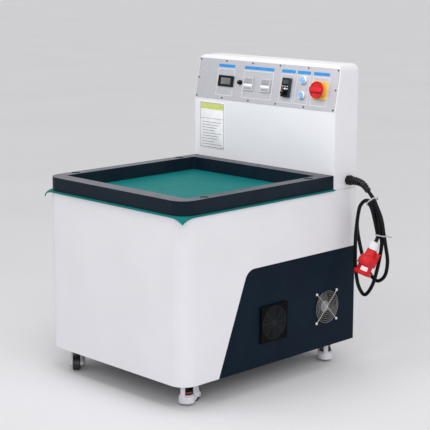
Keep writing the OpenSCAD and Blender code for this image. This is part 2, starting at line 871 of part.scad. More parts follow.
module isolator_plate() {
    edge_r = isolator_w / 12;
    x = isolator_w / 2;
    y = isolator_h / 2;
    color("gold") on_slope(isolator_at, panel_t) linear_extrude(plate_rise) difference() {
        union() {
            translate([-x + edge_r, -y]) square([2 * (x - edge_r), 2 * y]);
            translate([-x, -y + edge_r]) square([2 * x, 2 * (y - edge_r)]);
            for (s = [-1, 1], t = [-1, 1]) translate([s * (x - edge_r), t * (y - edge_r)])
                circle(edge_r);
        }
        circle(d = handle_stem_d + 2 * run_gap);
    }
}

module isolator_handle() {
    disc_share = 0.42;
    base_h = handle_h * disc_share;
    color("red") on_slope(isolator_at, panel_t + plate_rise + slide_gap) difference() {
        union() {
            cylinder(h = base_h, d = handle_d);
            intersection() {
                cylinder(h = handle_h, d1 = handle_d, d2 = handle_d * 0.9);
                translate([-grip_w / 2, -handle_d / 2, 0]) cube([grip_w, handle_d, handle_h]);
            }
            translate([0, 0, -handle_stem_l]) cylinder(h = handle_stem_l + overrun,
                d = handle_stem_d);
        }
        for (i = [0 : grip_count - 1]) rotate([0, 0, (i + 0.5) * 360 / grip_count])
            translate([handle_d / 2, 0, -overrun]) cylinder(h = handle_h + 2 * overrun,
                d = handle_d / 20);
    }
}

module control_gear() {
    plate_y = riser_y + sheet_t + standoff_l;
    rear_y = plate_y + gear_plate[1] + seat_gap;
    low_z = gear_at[1] - gear_plate[2] / 2;
    color("gray") {
        translate([gear_at[0] - gear_plate[0] / 2, plate_y, low_z]) cube(gear_plate);
        for (s = [-1, 1], t = [-1, 1])
            translate([gear_at[0] + s * (gear_plate[0] / 2 - standoff_d), plate_y,
                gear_at[1] + t * (gear_plate[2] / 2 - standoff_d)]) rotate([90, 0, 0])
                cylinder(h = standoff_l, d = standoff_d);
        translate([gear_at[0] - gear_plate[0] / 2 + standoff_d * 2, rear_y, low_z + standoff_d])
            cube(drive_box);
        for (i = [0, 1]) translate([gear_at[0] + standoff_d + i * (contactor_box[0] + standoff_d),
            rear_y, gear_at[1] + standoff_d]) cube(contactor_box);
        translate([gear_at[0], rear_y, low_z + standoff_d]) cube(terminal_strip);
        switch_block(upper_button_at, button_stem_d, button_stem_l + button_travel);
        switch_block(lower_button_at, button_stem_d, button_stem_l + button_travel);
        switch_block(isolator_at, handle_stem_d, handle_stem_l);
    }
}

// The contact block behind a button or the isolator, bored through for its stem
module switch_block(at, stem, depth) {
    side = stem * 2.6;
    on_slope(at, -depth) difference() {
        block([side, side, depth], [0, 0, 0]);
        translate([0, 0, -overrun])
            cylinder(h = depth + 2 * overrun, d = stem + 2 * slide_gap);
    }
}

module cable_gland() {
    color("black") translate([half_w, gland_y, gland_z]) rotate([0, 90, 0]) {
        cylinder(h = gland_nut_t, d = gland_d, $fn = 6);
        translate([0, 0, gland_nut_t]) cylinder(h = (gland_l - gland_nut_t) / 2, d = gland_d);
        translate([0, 0, (gland_l + gland_nut_t) / 2])
            cylinder(h = (gland_l - gland_nut_t) / 2, d1 = gland_d, d2 = sleeve_d);
        translate([0, 0, -sheet_t - gland_nut_t]) {
            cylinder(h = sheet_t + gland_nut_t, d = gland_thread_d);
            cylinder(h = gland_nut_t, d = gland_d);
        }
    }
}

module strain_relief() {
    path = smooth(sleeve_route, sleeve_steps);
    last = len(path) - 1;
    radii = [for (i = [0 : last])
        let(r = (sleeve_d + (sleeve_end_d - sleeve_d) * i / last) / 2)
        i % 4 < 2 || i == last ? r : r - rib_depth];
    color("black") swept_tube(path, radii, sleeve_sides);
}

module power_cord() {
    color("black") swept_tube(cord_path, [for (p = cord_path) cord_d / 2], cord_sides);
}

// Moves to the plug: Z runs from the cable entry to the pins
module on_plug(off = 0) {
    lean = atan2(norm([plug_axis[0], plug_axis[1]]), plug_axis[2]);
    translate(plug_at) rotate([0, lean, atan2(plug_axis[1], plug_axis[0])])
        translate([0, 0, off]) children();
}

module plug_body() {
    grip_end = plug_l - shroud_l;
    neck_l = grip_end * neck_share;
    shoulder_l = grip_end * shoulder_share;
    color("red") on_plug(nut_l) difference() {
        union() {
            cylinder(h = neck_l, d1 = nut_d - shroud_wall, d2 = nut_d + shroud_wall);
            translate([0, 0, neck_l]) cylinder(h = shoulder_l, d1 = (nut_d + plug_d) / 2, d2 = plug_d);
            translate([0, 0, neck_l + shoulder_l])
                cylinder(h = grip_end - neck_l - shoulder_l, d = plug_d);
            translate([0, 0, grip_end]) cylinder(h = shroud_l, d = shroud_d);
            translate([-plug_key_w / 2, 0, grip_end])
                cube([plug_key_w, shroud_d / 2 + plug_key_h, shroud_l]);
            translate([0, 0, plug_l - collar_l]) cylinder(h = collar_l, d = plug_collar_d);
        }
        translate([0, 0, grip_end]) cylinder(h = shroud_l + overrun,
            d = shroud_d - 2 * shroud_wall);
    }
}

module plug_nut() {
    color("white") on_plug() {
        cylinder(h = nut_l / 4, d1 = nut_entry_d, d2 = nut_d - 2 * shroud_wall);
        translate([0, 0, nut_l / 4]) cylinder(h = nut_l / 2, d1 = nut_d - 2 * shroud_wall,
            d2 = nut_d);
        translate([0, 0, nut_l * 3 / 4]) cylinder(h = nut_l / 4, d = nut_d);
    }
}

module plug_pins() {
    z = nut_l + plug_l - shroud_l;
    color("goldenrod") for (i = [0 : pin_count - 1])
        on_plug(z) rotate([0, 0, i * 360 / pin_count + 90])
            translate([pin_ring_d / 2, 0, 0]) cylinder(h = pin_l, d = pin_d);
}

module cable_ties() {
    r = cord_d / 2 + tie_gap;
    color("whitesmoke") {
        translate(lower_tie_at - [0, 0, tie_w / 2]) linear_extrude(tie_w) difference() {
            stadium(lower_tie_half, r + tie_t);
            stadium(lower_tie_half, r);
        }
        translate(lower_tie_at + [lower_tie_half + r, 0, -tie_w / 2])
            cube([tie_tail_l, tie_t, tie_w]);
        translate(upper_tie_at) rotate([0, upper_tie_tilt, 0]) translate([0, 0, -tie_w / 2])
            linear_extrude(tie_w) difference() {
                circle(d = upper_tie_d + 2 * tie_t);
                circle(d = upper_tie_d);
            }
    }
}

module stadium(half, r) {
    translate([-half, -r]) square([2 * half, 2 * r]);
    for (s = [-1, 1]) translate([s * half, 0]) circle(r);
}

// Moves to the fan: Z points out through the side panel, zero at its inner face
module on_fan(y, z) {
    translate([inner_x, y, z]) rotate([0, 90, 0]) children();
}

module fan_frame() {
    hub_z = -fan_t;
    color("dimgray") on_fan(fan_y, fan_z) difference() {
        union() {
            translate([0, 0, -fan_t]) difference() {
                block([fan_side, fan_side, fan_t], [0, 0, 0]);
                translate([0, 0, -overrun]) cylinder(h = fan_t + 2 * overrun, d = fan_bore_d);
                translate([0, 0, fan_flange_t]) difference() {
                    block([fan_side + overrun, fan_side + overrun, fan_t - 2 * fan_flange_t],
                        [0, 0, 0]);
                    cylinder(h = fan_t, d = fan_bore_d + fan_flange_t);
                }
            }
            translate([0, 0, hub_z]) cylinder(h = fan_flange_t, d = fan_hub_d);
            for (a = [45, 135]) rotate([0, 0, a]) translate([0, 0, hub_z])
                block([fan_bore_d + 2 * overrun, fan_strut_w, fan_flange_t], [0, 0, 0]);
        }
        translate([0, 0, hub_z - overrun]) cylinder(h = fan_flange_t + 2 * overrun,
            d = fan_pin_d + 2 * run_gap);
        for (a = [-1, 1], b = [-1, 1])
            translate([a * fan_bolt_pitch / 2, b * fan_bolt_pitch / 2, -fan_t - overrun])
                cylinder(h = fan_t + 2 * overrun, d = fan_screw_d + 2 * run_gap);
    }
}

module fan_rotor() {
    hub_h = fan_t - fan_flange_t - 2 * slide_gap - fan_flange_t;
    z = -fan_t + fan_flange_t + slide_gap;
    color("lightsteelblue") on_fan(fan_y, fan_z) {
        translate([0, 0, z]) cylinder(h = hub_h, d = fan_hub_d);
        translate([0, 0, z - fan_flange_t]) cylinder(h = fan_flange_t, d = fan_pin_d);
        for (i = [0 : blade_count - 1]) rotate([0, 0, i * 360 / blade_count])
            translate([fan_hub_d / 2 - overrun, 0, z + hub_h / 2]) rotate([blade_pitch, 0, 0])
                translate([0, -blade_depth / 2, -blade_t / 2])
                    cube([(fan_rotor_d - fan_hub_d) / 2 - overrun, blade_depth, blade_t]);
    }
}

module wire_guard() {
    out = sheet_t + seat_gap;
    step = (fan_bore_d / 2 - guard_first_r) / (guard_rings - 1);
    reach = fan_bolt_pitch / 2;
    color("silver") on_fan(fan_y, fan_z) {
        for (i = [0 : guard_rings - 1])
            translate([0, 0, out + wire_d * weld_share + guard_stand]) rotate_extrude()
                translate([guard_first_r + i * step, 0]) circle(d = wire_d, $fn = 16);
        for (a = [45, 135]) rotate([0, 0, a]) difference() {
            translate([0, 0, out + guard_stand]) rotate([0, 90, 0])
                translate([0, 0, -reach * sqrt(2)]) cylinder(h = 2 * reach * sqrt(2), d = wire_d);
            translate([0, 0, out]) block([eyelet_d, eyelet_d, overrun], [reach * sqrt(2), 0, 0]);
        }
        for (a = [-1, 1], b = [-1, 1]) translate([a * reach, b * reach, 0]) {
            translate([0, 0, out]) difference() {
                cylinder(h = guard_stand + wire_d / 2, d = eyelet_d);
                translate([0, 0, -overrun]) cylinder(h = guard_stand + wire_d + 2 * overrun,
                    d = fan_screw_d + 2 * seat_gap);
            }
            translate([0, 0, out + guard_stand + wire_d / 2 + run_gap])
                cylinder(h = screw_head_t, d = eyelet_d * 0.8);
            translate([0, 0, -fan_flange_t])
                cylinder(h = out + guard_stand + wire_d / 2 + fan_flange_t + screw_head_t / 2,
                    d = fan_screw_d);
        }
    }
}

module filter_grille() {
    slot_count = 7;
    hub_r = fan_bore_d * 0.105;
    ring_w = fan_bore_d * 0.026;
    slot_w = (fan_bore_d / 2 - hub_r) / slot_count - ring_w;
    color("black") on_fan(grille_y, grille_z) translate([0, 0, sheet_t]) difference() {
        block([grille_side, grille_side, grille_t], [0, 0, 0]);
        translate([0, 0, -overrun]) for (i = [0 : slot_count - 1]) {
            r = hub_r + i * (slot_w + ring_w);
            difference() {
                cylinder(h = grille_t + 2 * overrun, r = r + slot_w);
                translate([0, 0, -overrun]) cylinder(h = grille_t + 4 * overrun, r = r);
                for (a = [0, 45, 90, 135]) rotate([0, 0, a])
                    block([grille_side, ring_w, grille_t + 4 * overrun], [0, 0, -overrun]);
            }
        }
    }
}

module drive_motor() {
    flange_z = motor_plate_z - motor_flange_t;
    body_l = motor_l - motor_flange_t - cowl_l;
    color("slategray") translate([0, drive_y, 0]) difference() {
        union() {
            translate([0, 0, flange_z]) cylinder(h = motor_flange_t, d = motor_flange_d);
            translate([0, 0, motor_plate_z]) cylinder(h = spigot_t, d = spigot_d);
            translate([0, 0, flange_z - body_l]) cylinder(h = body_l, d = motor_d - 2 * fin_h);
            for (i = [0 : fin_count - 1]) rotate([0, 0, i * 360 / fin_count])
                translate([motor_d / 2 - 2 * fin_h, -fin_t / 2, flange_z - body_l])
                    cube([2 * fin_h, fin_t, body_l]);
            translate([0, 0, flange_z - body_l - cowl_l])
                cylinder(h = cowl_l, d = motor_d + cowl_extra);
            translate([motor_d / 2 - fin_h * 2, -terminal_box[1] / 2,
                flange_z - body_l * 0.75]) cube(terminal_box);
        }
        translate([0, 0, motor_plate_z - shaft_depth])
            cylinder(h = shaft_depth + spigot_t + overrun, d = shaft_d + 2 * run_gap);
        motor_bolt_places() translate([0, 0, flange_z - overrun])
            cylinder(h = motor_flange_t + 2 * overrun, d = motor_bolt_d);
    }
}

module motor_bolt_places() {
    for (a = [45 : 90 : 315]) rotate([0, 0, a]) translate([motor_bolt_pitch / 2, 0, 0]) children();
}

module motor_plate() {
    side = motor_flange_d + 2 * tube_w + rail_gap;
    color("darkgray") translate([0, drive_y, motor_plate_z]) difference() {
        block([side, side, motor_plate_t], [0, 0, 0]);
        translate([0, 0, -overrun]) {
            cylinder(h = motor_plate_t + 2 * overrun, d = spigot_d + 2 * run_gap);
            motor_bolt_places() cylinder(h = motor_plate_t + 2 * overrun, d = motor_bolt_d);
        }
    }
}

module spindle() {
    shaft_z = motor_plate_z - shaft_depth + overrun;
    color("silver") translate([0, drive_y, 0]) {
        translate([0, 0, shaft_z]) cylinder(h = disc_z + disc_t - shaft_z, d = shaft_d);
        translate([0, 0, disc_z - hub_t]) cylinder(h = hub_t, d = hub_d);
    }
}

module magnet_disc() {
    color("silver") translate([0, drive_y, disc_z]) difference() {
        cylinder(h = disc_t, d = disc_d, $fn = 128);
        translate([0, 0, -overrun]) cylinder(h = disc_t + 2 * overrun, d = shaft_d + 2 * run_gap);
    }
}

module disc_magnets() {
    color("dimgray") translate([0, drive_y, disc_z + disc_t])
        for (row = [0 : len(magnet_counts) - 1], i = [0 : magnet_counts[row] - 1])
            rotate([0, 0, i * 360 / magnet_counts[row]])
                translate([magnet_ring_shares[row] * disc_d, 0, 0])
                    cylinder(h = magnet_t, d = magnet_d);
}

// Corner 0 front left, 1 front right, 2 rear left, 3 rear right
function caster_place(i) =
    [(i % 2 == 0 ? -1 : 1) * caster_x, i < 2 ? caster_front_y : caster_back_y, 0];

module at_caster(i) {
    translate(caster_place(i)) rotate([0, 0, caster_angles[i]]) children();
}

module caster_plates() {
    plate_z = caster_h - plate_t;
    cap_z = plate_z - swivel_gap - cap_ring_t;
    color("silver") for (i = [0 : 3]) translate(caster_place(i)) {
        difference() {
            block([caster_plate_w, caster_plate_w, plate_t], [0, 0, plate_z]);
            for (a = [-1, 1], b = [-1, 1])
                translate([a * caster_bolt_pitch / 2, b * caster_bolt_pitch / 2,
                    plate_z - overrun]) cylinder(h = plate_t + 2 * overrun, d = caster_bolt_d);
        }
        translate([0, 0, cap_z - swivel_gap])
            cylinder(h = plate_z - cap_z + swivel_gap, d = kingpin_d);
        translate([0, 0, cap_z - swivel_gap - kingpin_head_t])
            cylinder(h = kingpin_head_t, d = kingpin_head_d);
    }
}

// Side outline of a fork plate: across is the trail direction and up is Z
module fork_outline(top) {
    axle_z = wheel_d / 2;
    r = boss_d / 2;
    polygon([[axle_d / 4, cup_z], [cup_d * 0.48, cup_z], [caster_trail - r * 0.5,
        axle_z - r * 0.87], [caster_trail + r, axle_z], [caster_trail - r * 0.6, top - r],
        [cup_d * 0.52, top], [axle_d / 4, top]]);
    translate([caster_trail, axle_z]) circle(r);
}

module caster_housing() {
    top = caster_h - plate_t - swivel_gap;
    cap_z = top - cap_ring_t;
    inner_y = wheel_w / 2 + fork_gap;
    outer_y = inner_y + fork_t;
    reach = outer_y + boss_t;
    axle_z = wheel_d / 2;
    hole = axle_d + 2 * run_gap;
    difference() {
        union() {
            translate([0, 0, cap_z]) cylinder(h = cap_ring_t, d = cap_ring_d);
            difference() {
                union() {
                    translate([0, 0, cup_z]) cylinder(h = cup_h, d = cup_d);
                    translate([0, 0, cup_z]) intersection() {
                        cylinder(h = cap_z - cup_z, d = cup_d);
                        translate([-cup_d / 2, -pillar_w / 2, 0])
                            cube([cup_d / 2, pillar_w, cap_z - cup_z]);
                    }
                }
                translate([0, 0, -overrun])
                    cylinder(h = cap_z + overrun, d = cup_d - 2 * cup_wall);
            }
            translate([0, 0, web_z - web_t]) cylinder(h = web_t, d = cup_d - cup_wall);
            for (s = [-1, 1]) translate([0, s * (inner_y + fork_t / 2), 0]) rotate([90, 0, 0])
                translate([0, 0, -fork_t / 2]) linear_extrude(fork_t) difference() {
                    fork_outline(top - cap_ring_t / 2);
                    translate([caster_trail, axle_z]) circle(d = hole);
                }
            for (s = [-1, 1]) translate([caster_trail, s * (outer_y + boss_t / 2), axle_z])
                rotate([90, 0, 0]) translate([0, 0, -boss_t / 2]) difference() {
                    cylinder(h = boss_t, d = boss_d * 0.8);
                    cylinder(h = boss_t * 2, d = hole, center = true);
                }
        }
        translate([0, 0, cap_z - overrun])
            cylinder(h = cap_ring_t + 2 * overrun, d = kingpin_d + 2 * run_gap);
        translate([0, 0, web_z - web_t - overrun])
            cylinder(h = web_t + 2 * overrun, d = stem_d + 2 * run_gap);
        cylinder(h = web_z - web_t, d = foot_d + 2 * overrun);
        translate([foot_d / 2 + overrun, -inner_y, 0])
            cube([cup_d, 2 * inner_y, cap_z - thumbwheel_t]);
        translate([0, 0, web_z]) cylinder(h = cap_z - web_z - thumbwheel_t, d =
            thumbwheel_d + 2 * overrun);
    }
    translate([caster_trail, reach - overrun, axle_z]) rotate([90, 0, 0])
        cylinder(h = 2 * (reach - overrun), d = axle_d);
}

module caster_wheel() {
    groove = wheel_w / 16;
    inner_y = wheel_w / 2 + fork_gap - slide_gap;
    translate([caster_trail, 0, wheel_d / 2]) rotate([90, 0, 0]) difference() {
        union() {
            cylinder(h = wheel_w, d = wheel_d, center = true);
            cylinder(h = 2 * inner_y, d = axle_d * 2, center = true);
        }
        cylinder(h = 3 * wheel_w, d = wheel_bore_d, center = true);
        for (s = [-1, 1]) translate([0, 0, s * wheel_w / 2]) difference() {
            cylinder(h = 2 * groove, d = wheel_d * 0.8, center = true);
            cylinder(h = 3 * groove, d = axle_d * 2, center = true);
        }
    }
}

module caster_thumbwheel() {
    translate([0, 0, web_z + swivel_gap]) difference() {
        cylinder(h = thumbwheel_t, d = thumbwheel_d);
        translate([0, 0, -overrun])
            cylinder(h = thumbwheel_t + 2 * overrun, d = stem_d + 2 * run_gap);
        for (i = [0 : grip_count - 1]) rotate([0, 0, i * 360 / grip_count])
            translate([thumbwheel_d / 2, 0, -overrun])
                cylinder(h = thumbwheel_t + 2 * overrun, d = thumbwheel_d / 12);
    }
}

module caster_foot() {
    cap_z = caster_h - plate_t - swivel_gap - cap_ring_t;
    top = cap_z - swivel_gap - kingpin_head_t - slide_gap;
    translate([0, 0, foot_z]) cylinder(h = foot_t, d = foot_d);
    translate([0, 0, foot_z + foot_t]) cylinder(h = foot_t / 2, d1 = foot_d, d2 = stem_d * 2);
    translate([0, 0, foot_z + foot_t]) cylinder(h = top - foot_z - foot_t, d = stem_d);
}

module caster_part(i, part) {
    at_caster(i) {
        if (part == 0) color("whitesmoke") caster_housing();
        if (part == 1) color("black") caster_wheel();
        if (part == 2) color("red") caster_thumbwheel();
        if (part == 3) color("black") caster_foot();
    }
}

cabinet_shell();
right_side_panel();
left_side_panel();
rear_panel();
base_frame();
top_plate();
work_mat();
trough_frame();
trough_caps();
riser_shell();
riser_cover();
control_panel();
panel_screws();
display_unit();
speed_knob();
timers();
inverter_keypad();
inverter_knob();
color("red") keypad_key(-1);  // red_key
color("white") keypad_key(0);  // white_key
color("blue") keypad_key(1);  // blue_key
button_bezels();
button_cap(upper_button_at);  // upper_button
button_cap(lower_button_at);  // lower_button
isolator_plate();
isolator_handle();
control_gear();
cable_gland();
strain_relief();
power_cord();
plug_body();
plug_nut();
plug_pins();
cable_ties();
fan_frame();
fan_rotor();
wire_guard();
filter_grille();
drive_motor();
motor_plate();
spindle();
magnet_disc();
disc_magnets();
caster_plates();
caster_part(0, 0);  // front_left_housing
caster_part(0, 1);  // front_left_wheel
caster_part(0, 2);  // front_left_thumbwheel
caster_part(0, 3);  // front_left_foot
caster_part(1, 0);  // front_right_housing
caster_part(1, 1);  // front_right_wheel
caster_part(1, 2);  // front_right_thumbwheel
caster_part(1, 3);  // front_right_foot
caster_part(2, 0);  // rear_left_housing
caster_part(2, 1);  // rear_left_wheel
caster_part(2, 2);  // rear_left_thumbwheel
caster_part(2, 3);  // rear_left_foot
caster_part(3, 0);  // rear_right_housing
caster_part(3, 1);  // rear_right_wheel
caster_part(3, 2);  // rear_right_thumbwheel
caster_part(3, 3);  // rear_right_foot
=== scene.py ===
import json
import math

import bpy
from mathutils import Matrix, Vector


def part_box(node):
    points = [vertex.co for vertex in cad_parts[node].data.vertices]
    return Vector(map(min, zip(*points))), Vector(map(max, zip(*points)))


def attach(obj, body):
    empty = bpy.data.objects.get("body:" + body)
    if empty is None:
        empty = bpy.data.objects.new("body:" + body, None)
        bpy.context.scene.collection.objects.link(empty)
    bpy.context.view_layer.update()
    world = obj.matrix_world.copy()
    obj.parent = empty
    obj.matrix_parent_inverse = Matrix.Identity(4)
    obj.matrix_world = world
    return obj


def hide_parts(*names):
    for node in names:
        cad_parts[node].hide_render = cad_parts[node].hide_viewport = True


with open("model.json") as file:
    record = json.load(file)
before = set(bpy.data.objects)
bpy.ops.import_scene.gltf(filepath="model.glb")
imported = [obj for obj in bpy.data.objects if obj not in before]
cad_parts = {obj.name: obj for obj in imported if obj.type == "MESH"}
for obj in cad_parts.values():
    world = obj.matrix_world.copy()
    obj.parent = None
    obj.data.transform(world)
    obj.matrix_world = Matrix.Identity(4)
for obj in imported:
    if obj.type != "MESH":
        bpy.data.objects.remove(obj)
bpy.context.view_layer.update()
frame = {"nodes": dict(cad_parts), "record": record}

scene = bpy.context.scene
nodes = frame["nodes"]
bodyOf = {node: body for body, members in frame["record"]["behaviour"]["bodies"].items() for node in members}
mm = 0.001
scene.view_settings.view_transform = "Standard"
print("frame loaded:", len(nodes), "nodes")

# camera at the photograph's place
cameraSettings = {"place": (3.3537, -3.1975, 1.477), "turn": (78.63, 0.0, 45.8), "lens": 111.9,
                  "sensor": 36.0}
bpy.ops.object.camera_add(location=cameraSettings["place"],
                          rotation=[math.radians(a) for a in cameraSettings["turn"]])
camera = bpy.context.object
camera.name = "photoCamera"
camera.data.lens = cameraSettings["lens"]
camera.data.sensor_width = cameraSettings["sensor"]
camera.data.clip_end = 200.0
scene.camera = camera
print("camera placed")


# selecting and finishing
def clearSelection():
    if bpy.context.object and bpy.context.object.mode != "OBJECT":
        bpy.ops.object.mode_set(mode="OBJECT")
    bpy.ops.object.select_all(action="DESELECT")


def pick(*pieces):
    clearSelection()
    for piece in pieces:
        piece.select_set(True)
    bpy.context.view_layer.objects.active = pieces[0]


def editAll(piece):
    pick(piece)
    bpy.ops.object.mode_set(mode="EDIT")
    bpy.ops.mesh.select_all(action="SELECT")


def editEdges(piece, test):
    pick(piece)
    bpy.ops.object.mode_set(mode="EDIT")
    bpy.ops.mesh.select_mode(type="EDGE")
    bpy.ops.mesh.select_all(action="DESELECT")
    bpy.ops.object.mode_set(mode="OBJECT")
    spots = piece.data.vertices
    for edge in piece.data.edges:
        edge.select = test(spots[edge.vertices[0]].co, spots[edge.vertices[1]].co)
    bpy.ops.object.mode_set(mode="EDIT")


def leaveEdit():
    bpy.ops.object.mode_set(mode="OBJECT")


def faceOut():
    bpy.ops.mesh.select_all(action="SELECT")
    bpy.ops.mesh.normals_make_consistent(inside=False)
    leaveEdit()


def addModifier(piece, name, kind, **settings):
    pick(piece)
    modifier = piece.modifiers.new(name, kind)
    for key, value in settings.items():
        setattr(modifier, key, value)
    bpy.ops.object.modifier_apply(modifier=name)


def applyPlace():
    bpy.ops.object.transform_apply(location=True, rotation=True, scale=True)


def shift(x, y, z):
    return Matrix.Translation(Vector((x, y, z)) * mm)


def turnBy(degrees, axis):
    return Matrix.Rotation(math.radians(degrees), 4, axis)


def moved(piece, matrix):
    piece.matrix_world = matrix @ piece.matrix_world
    return piece


def copies(piece, places):
    # the piece once at each place; it goes itself
    parts = []
    for place in places:
        twin = piece.copy()
        twin.data = piece.data.copy()
        scene.collection.objects.link(twin)
        parts.append(moved(twin, place))
    bpy.data.objects.remove(piece)
    return parts


def joined(name, parts):
    pick(*parts)
    applyPlace()
    if len(parts) > 1:
        bpy.ops.object.join()
    piece = bpy.context.object
    piece.name = name
    return piece


def coat(piece, finish):
    piece.data.materials.clear()
    piece.data.materials.append(finish["material"])


def settle(piece, finish, replaced=None, body="machine", smooth=38):
    # place into the mesh, finish, the node that it stands for and the body that it moves with
    pick(piece)
    applyPlace()
    bpy.ops.object.shade_smooth_by_angle(angle=math.radians(smooth))
    coat(piece, finish)
    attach(piece, bodyOf[replaced] if replaced else body)
    if replaced:
        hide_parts(replaced)
    return piece


dressSettings = {"weld": 0.01, "flat": 0.6, "smooth": 38, "edge": 30}


def dress(node, finish, bevel=0.8, segments=3, keep=False):
    # a copy of a node's mesh with softened edges, which stands for the node unless it is kept for a join
    piece = bpy.data.objects.new(node + "_finished", nodes[node].data.copy())
    scene.collection.objects.link(piece)
    editAll(piece)
    bpy.ops.mesh.remove_doubles(threshold=dressSettings["weld"] * mm)
    bpy.ops.mesh.dissolve_limited(angle_limit=math.radians(dressSettings["flat"]))
    leaveEdit()
    bpy.ops.object.shade_smooth_by_angle(angle=math.radians(dressSettings["smooth"]))
    addModifier(piece, "roundedEdges", "BEVEL", width=bevel * mm, segments=segments, limit_method="ANGLE",
                angle_limit=math.radians(dressSettings["edge"]), use_clamp_overlap=True, harden_normals=True)
    coat(piece, finish)
    if not keep:
        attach(piece, bodyOf[node])
        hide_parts(node)
    return piece


# shapes that several pieces start from
def turned(name, profile, sides=32):
    # (radius, height) pairs in mm, from the bottom face up, over the rim and into any bore
    clearSelection()
    radius, height = profile[0]
    bpy.ops.mesh.primitive_circle_add(vertices=sides, radius=radius * mm, fill_type="NGON")
    piece = bpy.context.object
    piece.name = name
    editAll(piece)
    bpy.ops.transform.translate(value=(0, 0, height * mm))
    for nextRadius, nextHeight in profile[1:]:
        bpy.ops.mesh.extrude_region_move(TRANSFORM_OT_translate={"value": (0, 0, (nextHeight - height) * mm)})
        share = nextRadius / radius
        bpy.ops.transform.resize(value=(share, share, 1), center_override=(0, 0, nextHeight * mm))
        radius, height = nextRadius, nextHeight
    faceOut()
    return piece


def roundedPlate(name, width, height, thickness, corner=0.0, edge=0.0, steps=4):
    # X across, Y up and Z off the face that it lies on
    clearSelection()
    bpy.ops.mesh.primitive_cube_add(size=1, location=(0, 0, thickness * mm / 2))
    piece = bpy.context.object
    piece.name = name
    piece.scale = (width * mm, height * mm, thickness * mm)
    applyPlace()
    if corner:
        editEdges(piece, lambda a, b: abs(a.z - b.z) > 0.5 * thickness * mm)
        bpy.ops.mesh.bevel(offset=corner * mm, segments=steps, affect="EDGES")
        leaveEdit()
    if edge:
        top = thickness * mm - 1e-6
        editEdges(piece, lambda a, b: a.z > top and b.z > top)
        bpy.ops.mesh.bevel(offset=edge * mm, segments=2, affect="EDGES")
        leaveEdit()
    return piece


def printedFrame(name, width, height, line, thickness):
    # an outline of one line's width
    clearSelection()
    bpy.ops.mesh.primitive_plane_add(size=1)
    piece = bpy.context.object
    piece.name = name
    piece.scale = (width * mm, height * mm, 1)
    applyPlace()
    editAll(piece)
    bpy.ops.mesh.select_mode(type="FACE")
    bpy.ops.mesh.inset(thickness=line * mm)
    bpy.ops.mesh.delete(type="FACE")
    bpy.ops.mesh.select_all(action="SELECT")
    bpy.ops.mesh.extrude_region_move(TRANSFORM_OT_translate={"value": (0, 0, thickness * mm)})
    faceOut()
    return piece


def allAround(count, place=Matrix(), offset=0.0):
    return [place @ turnBy(360 * (i + offset) / count, "Z") for i in range(count)]


def ribs(count, rib, out, rise, lean=90, place=Matrix(), offset=0.0):
    # rounded plates that stand on a round wall, all around it
    plate = roundedPlate("rib", *rib)
    onWall = shift(out, 0, rise) @ turnBy(lean, "Y") @ turnBy(90, "Z")
    return copies(plate, [turn @ onWall for turn in allAround(count, place, offset)])


def smoothRoute(route, steps):
    # a smooth line through places in mm
    spots = [Vector(p) * mm for p in route]
    last = len(spots) - 1
    path = []
    for i in range(last):
        a, b, c, d = spots[max(i - 1, 0)], spots[i], spots[i + 1], spots[min(i + 2, last)]
        for k in range(steps):
            t = k / steps
            path.append(0.5 * (2 * b + (c - a) * t + (2 * a - 5 * b + 4 * c - d) * t ** 2
                               + (3 * b - a - 3 * c + d) * t ** 3))
    return path + [spots[last]]


def tubeAlong(name, path, radii, sides=16):
    # a bevelled curve, made a mesh
    line = bpy.data.curves.new(name, "CURVE")
    line.dimensions = "3D"
    line.bevel_depth = 1.0
    line.bevel_resolution = (sides - 4) // 2
    line.use_fill_caps = True
    spline = line.splines.new("POLY")
    spline.points.add(len(path) - 1)
    for spot, place, radius in zip(spline.points, path, radii):
        spot.co = (place[0], place[1], place[2], 1.0)
        spot.radius = radius
    piece = bpy.data.objects.new(name, line)
    scene.collection.objects.link(piece)
    pick(piece)
    bpy.ops.object.convert(target="MESH")
    piece = bpy.context.object
    piece.name = name
    return piece


# places on the machine: the leaning face, the upright front of the box, the back, the right side, a caster
slope = {"y": 300, "z": 915, "lean": 11}
walls = {"back": 420, "right": 350}


def onSlope(x, t, off=0.0):
    lean = math.radians(slope["lean"])
    return shift(x, slope["y"] + t * math.sin(lean) - off * math.cos(lean),
                 slope["z"] + t * math.cos(lean) + off * math.sin(lean)) @ turnBy(90 - slope["lean"], "X")


def plateOn(name, size, x, t, lift):
    return moved(roundedPlate(name, *size), onSlope(x, t, lift))


def onFront(x, z, off=0.0):
    return shift(x, slope["y"] - off, z) @ turnBy(90, "X")


def onBack(x, z):
    return shift(x, walls["back"], z) @ turnBy(-90, "X")


def onRight(y, z, face=walls["right"]):
    return shift(face, y, z) @ turnBy(90, "Y")


caster = {
    "corners": {"front_left": (-286, -344, -44), "front_right": (286, -344, 105),
                "rear_left": (-286, 345, 60), "rear_right": (286, 345, 136)},
    "trail": 44, "axle": 25, "bossFace": 23.4, "bandTurn": -43, "bandSweep": 50, "bandSteps": 12,
    "bandRadius": 19.6, "bandRise": 3.4, "bandThick": 1.8,
    "rivet": [(4.6, -0.6), (4.6, 0.3), (4.0, 1.0), (2.6, 1.4), (1.0, 1.5)],
}


def atCaster(corner):
    x, y, angle = caster["corners"][corner]
    return shift(x, y, 0) @ turnBy(angle, "Z")


# materials: colours are sRGB hex, sizes are real millimetres
def hexColour(code):
    parts = [int(code[i:i + 2], 16) / 255 for i in (1, 3, 5)]
    return tuple(p / 12.92 if p <= 0.04045 else ((p + 0.055) / 1.055) ** 2.4 for p in parts) + (1.0,)


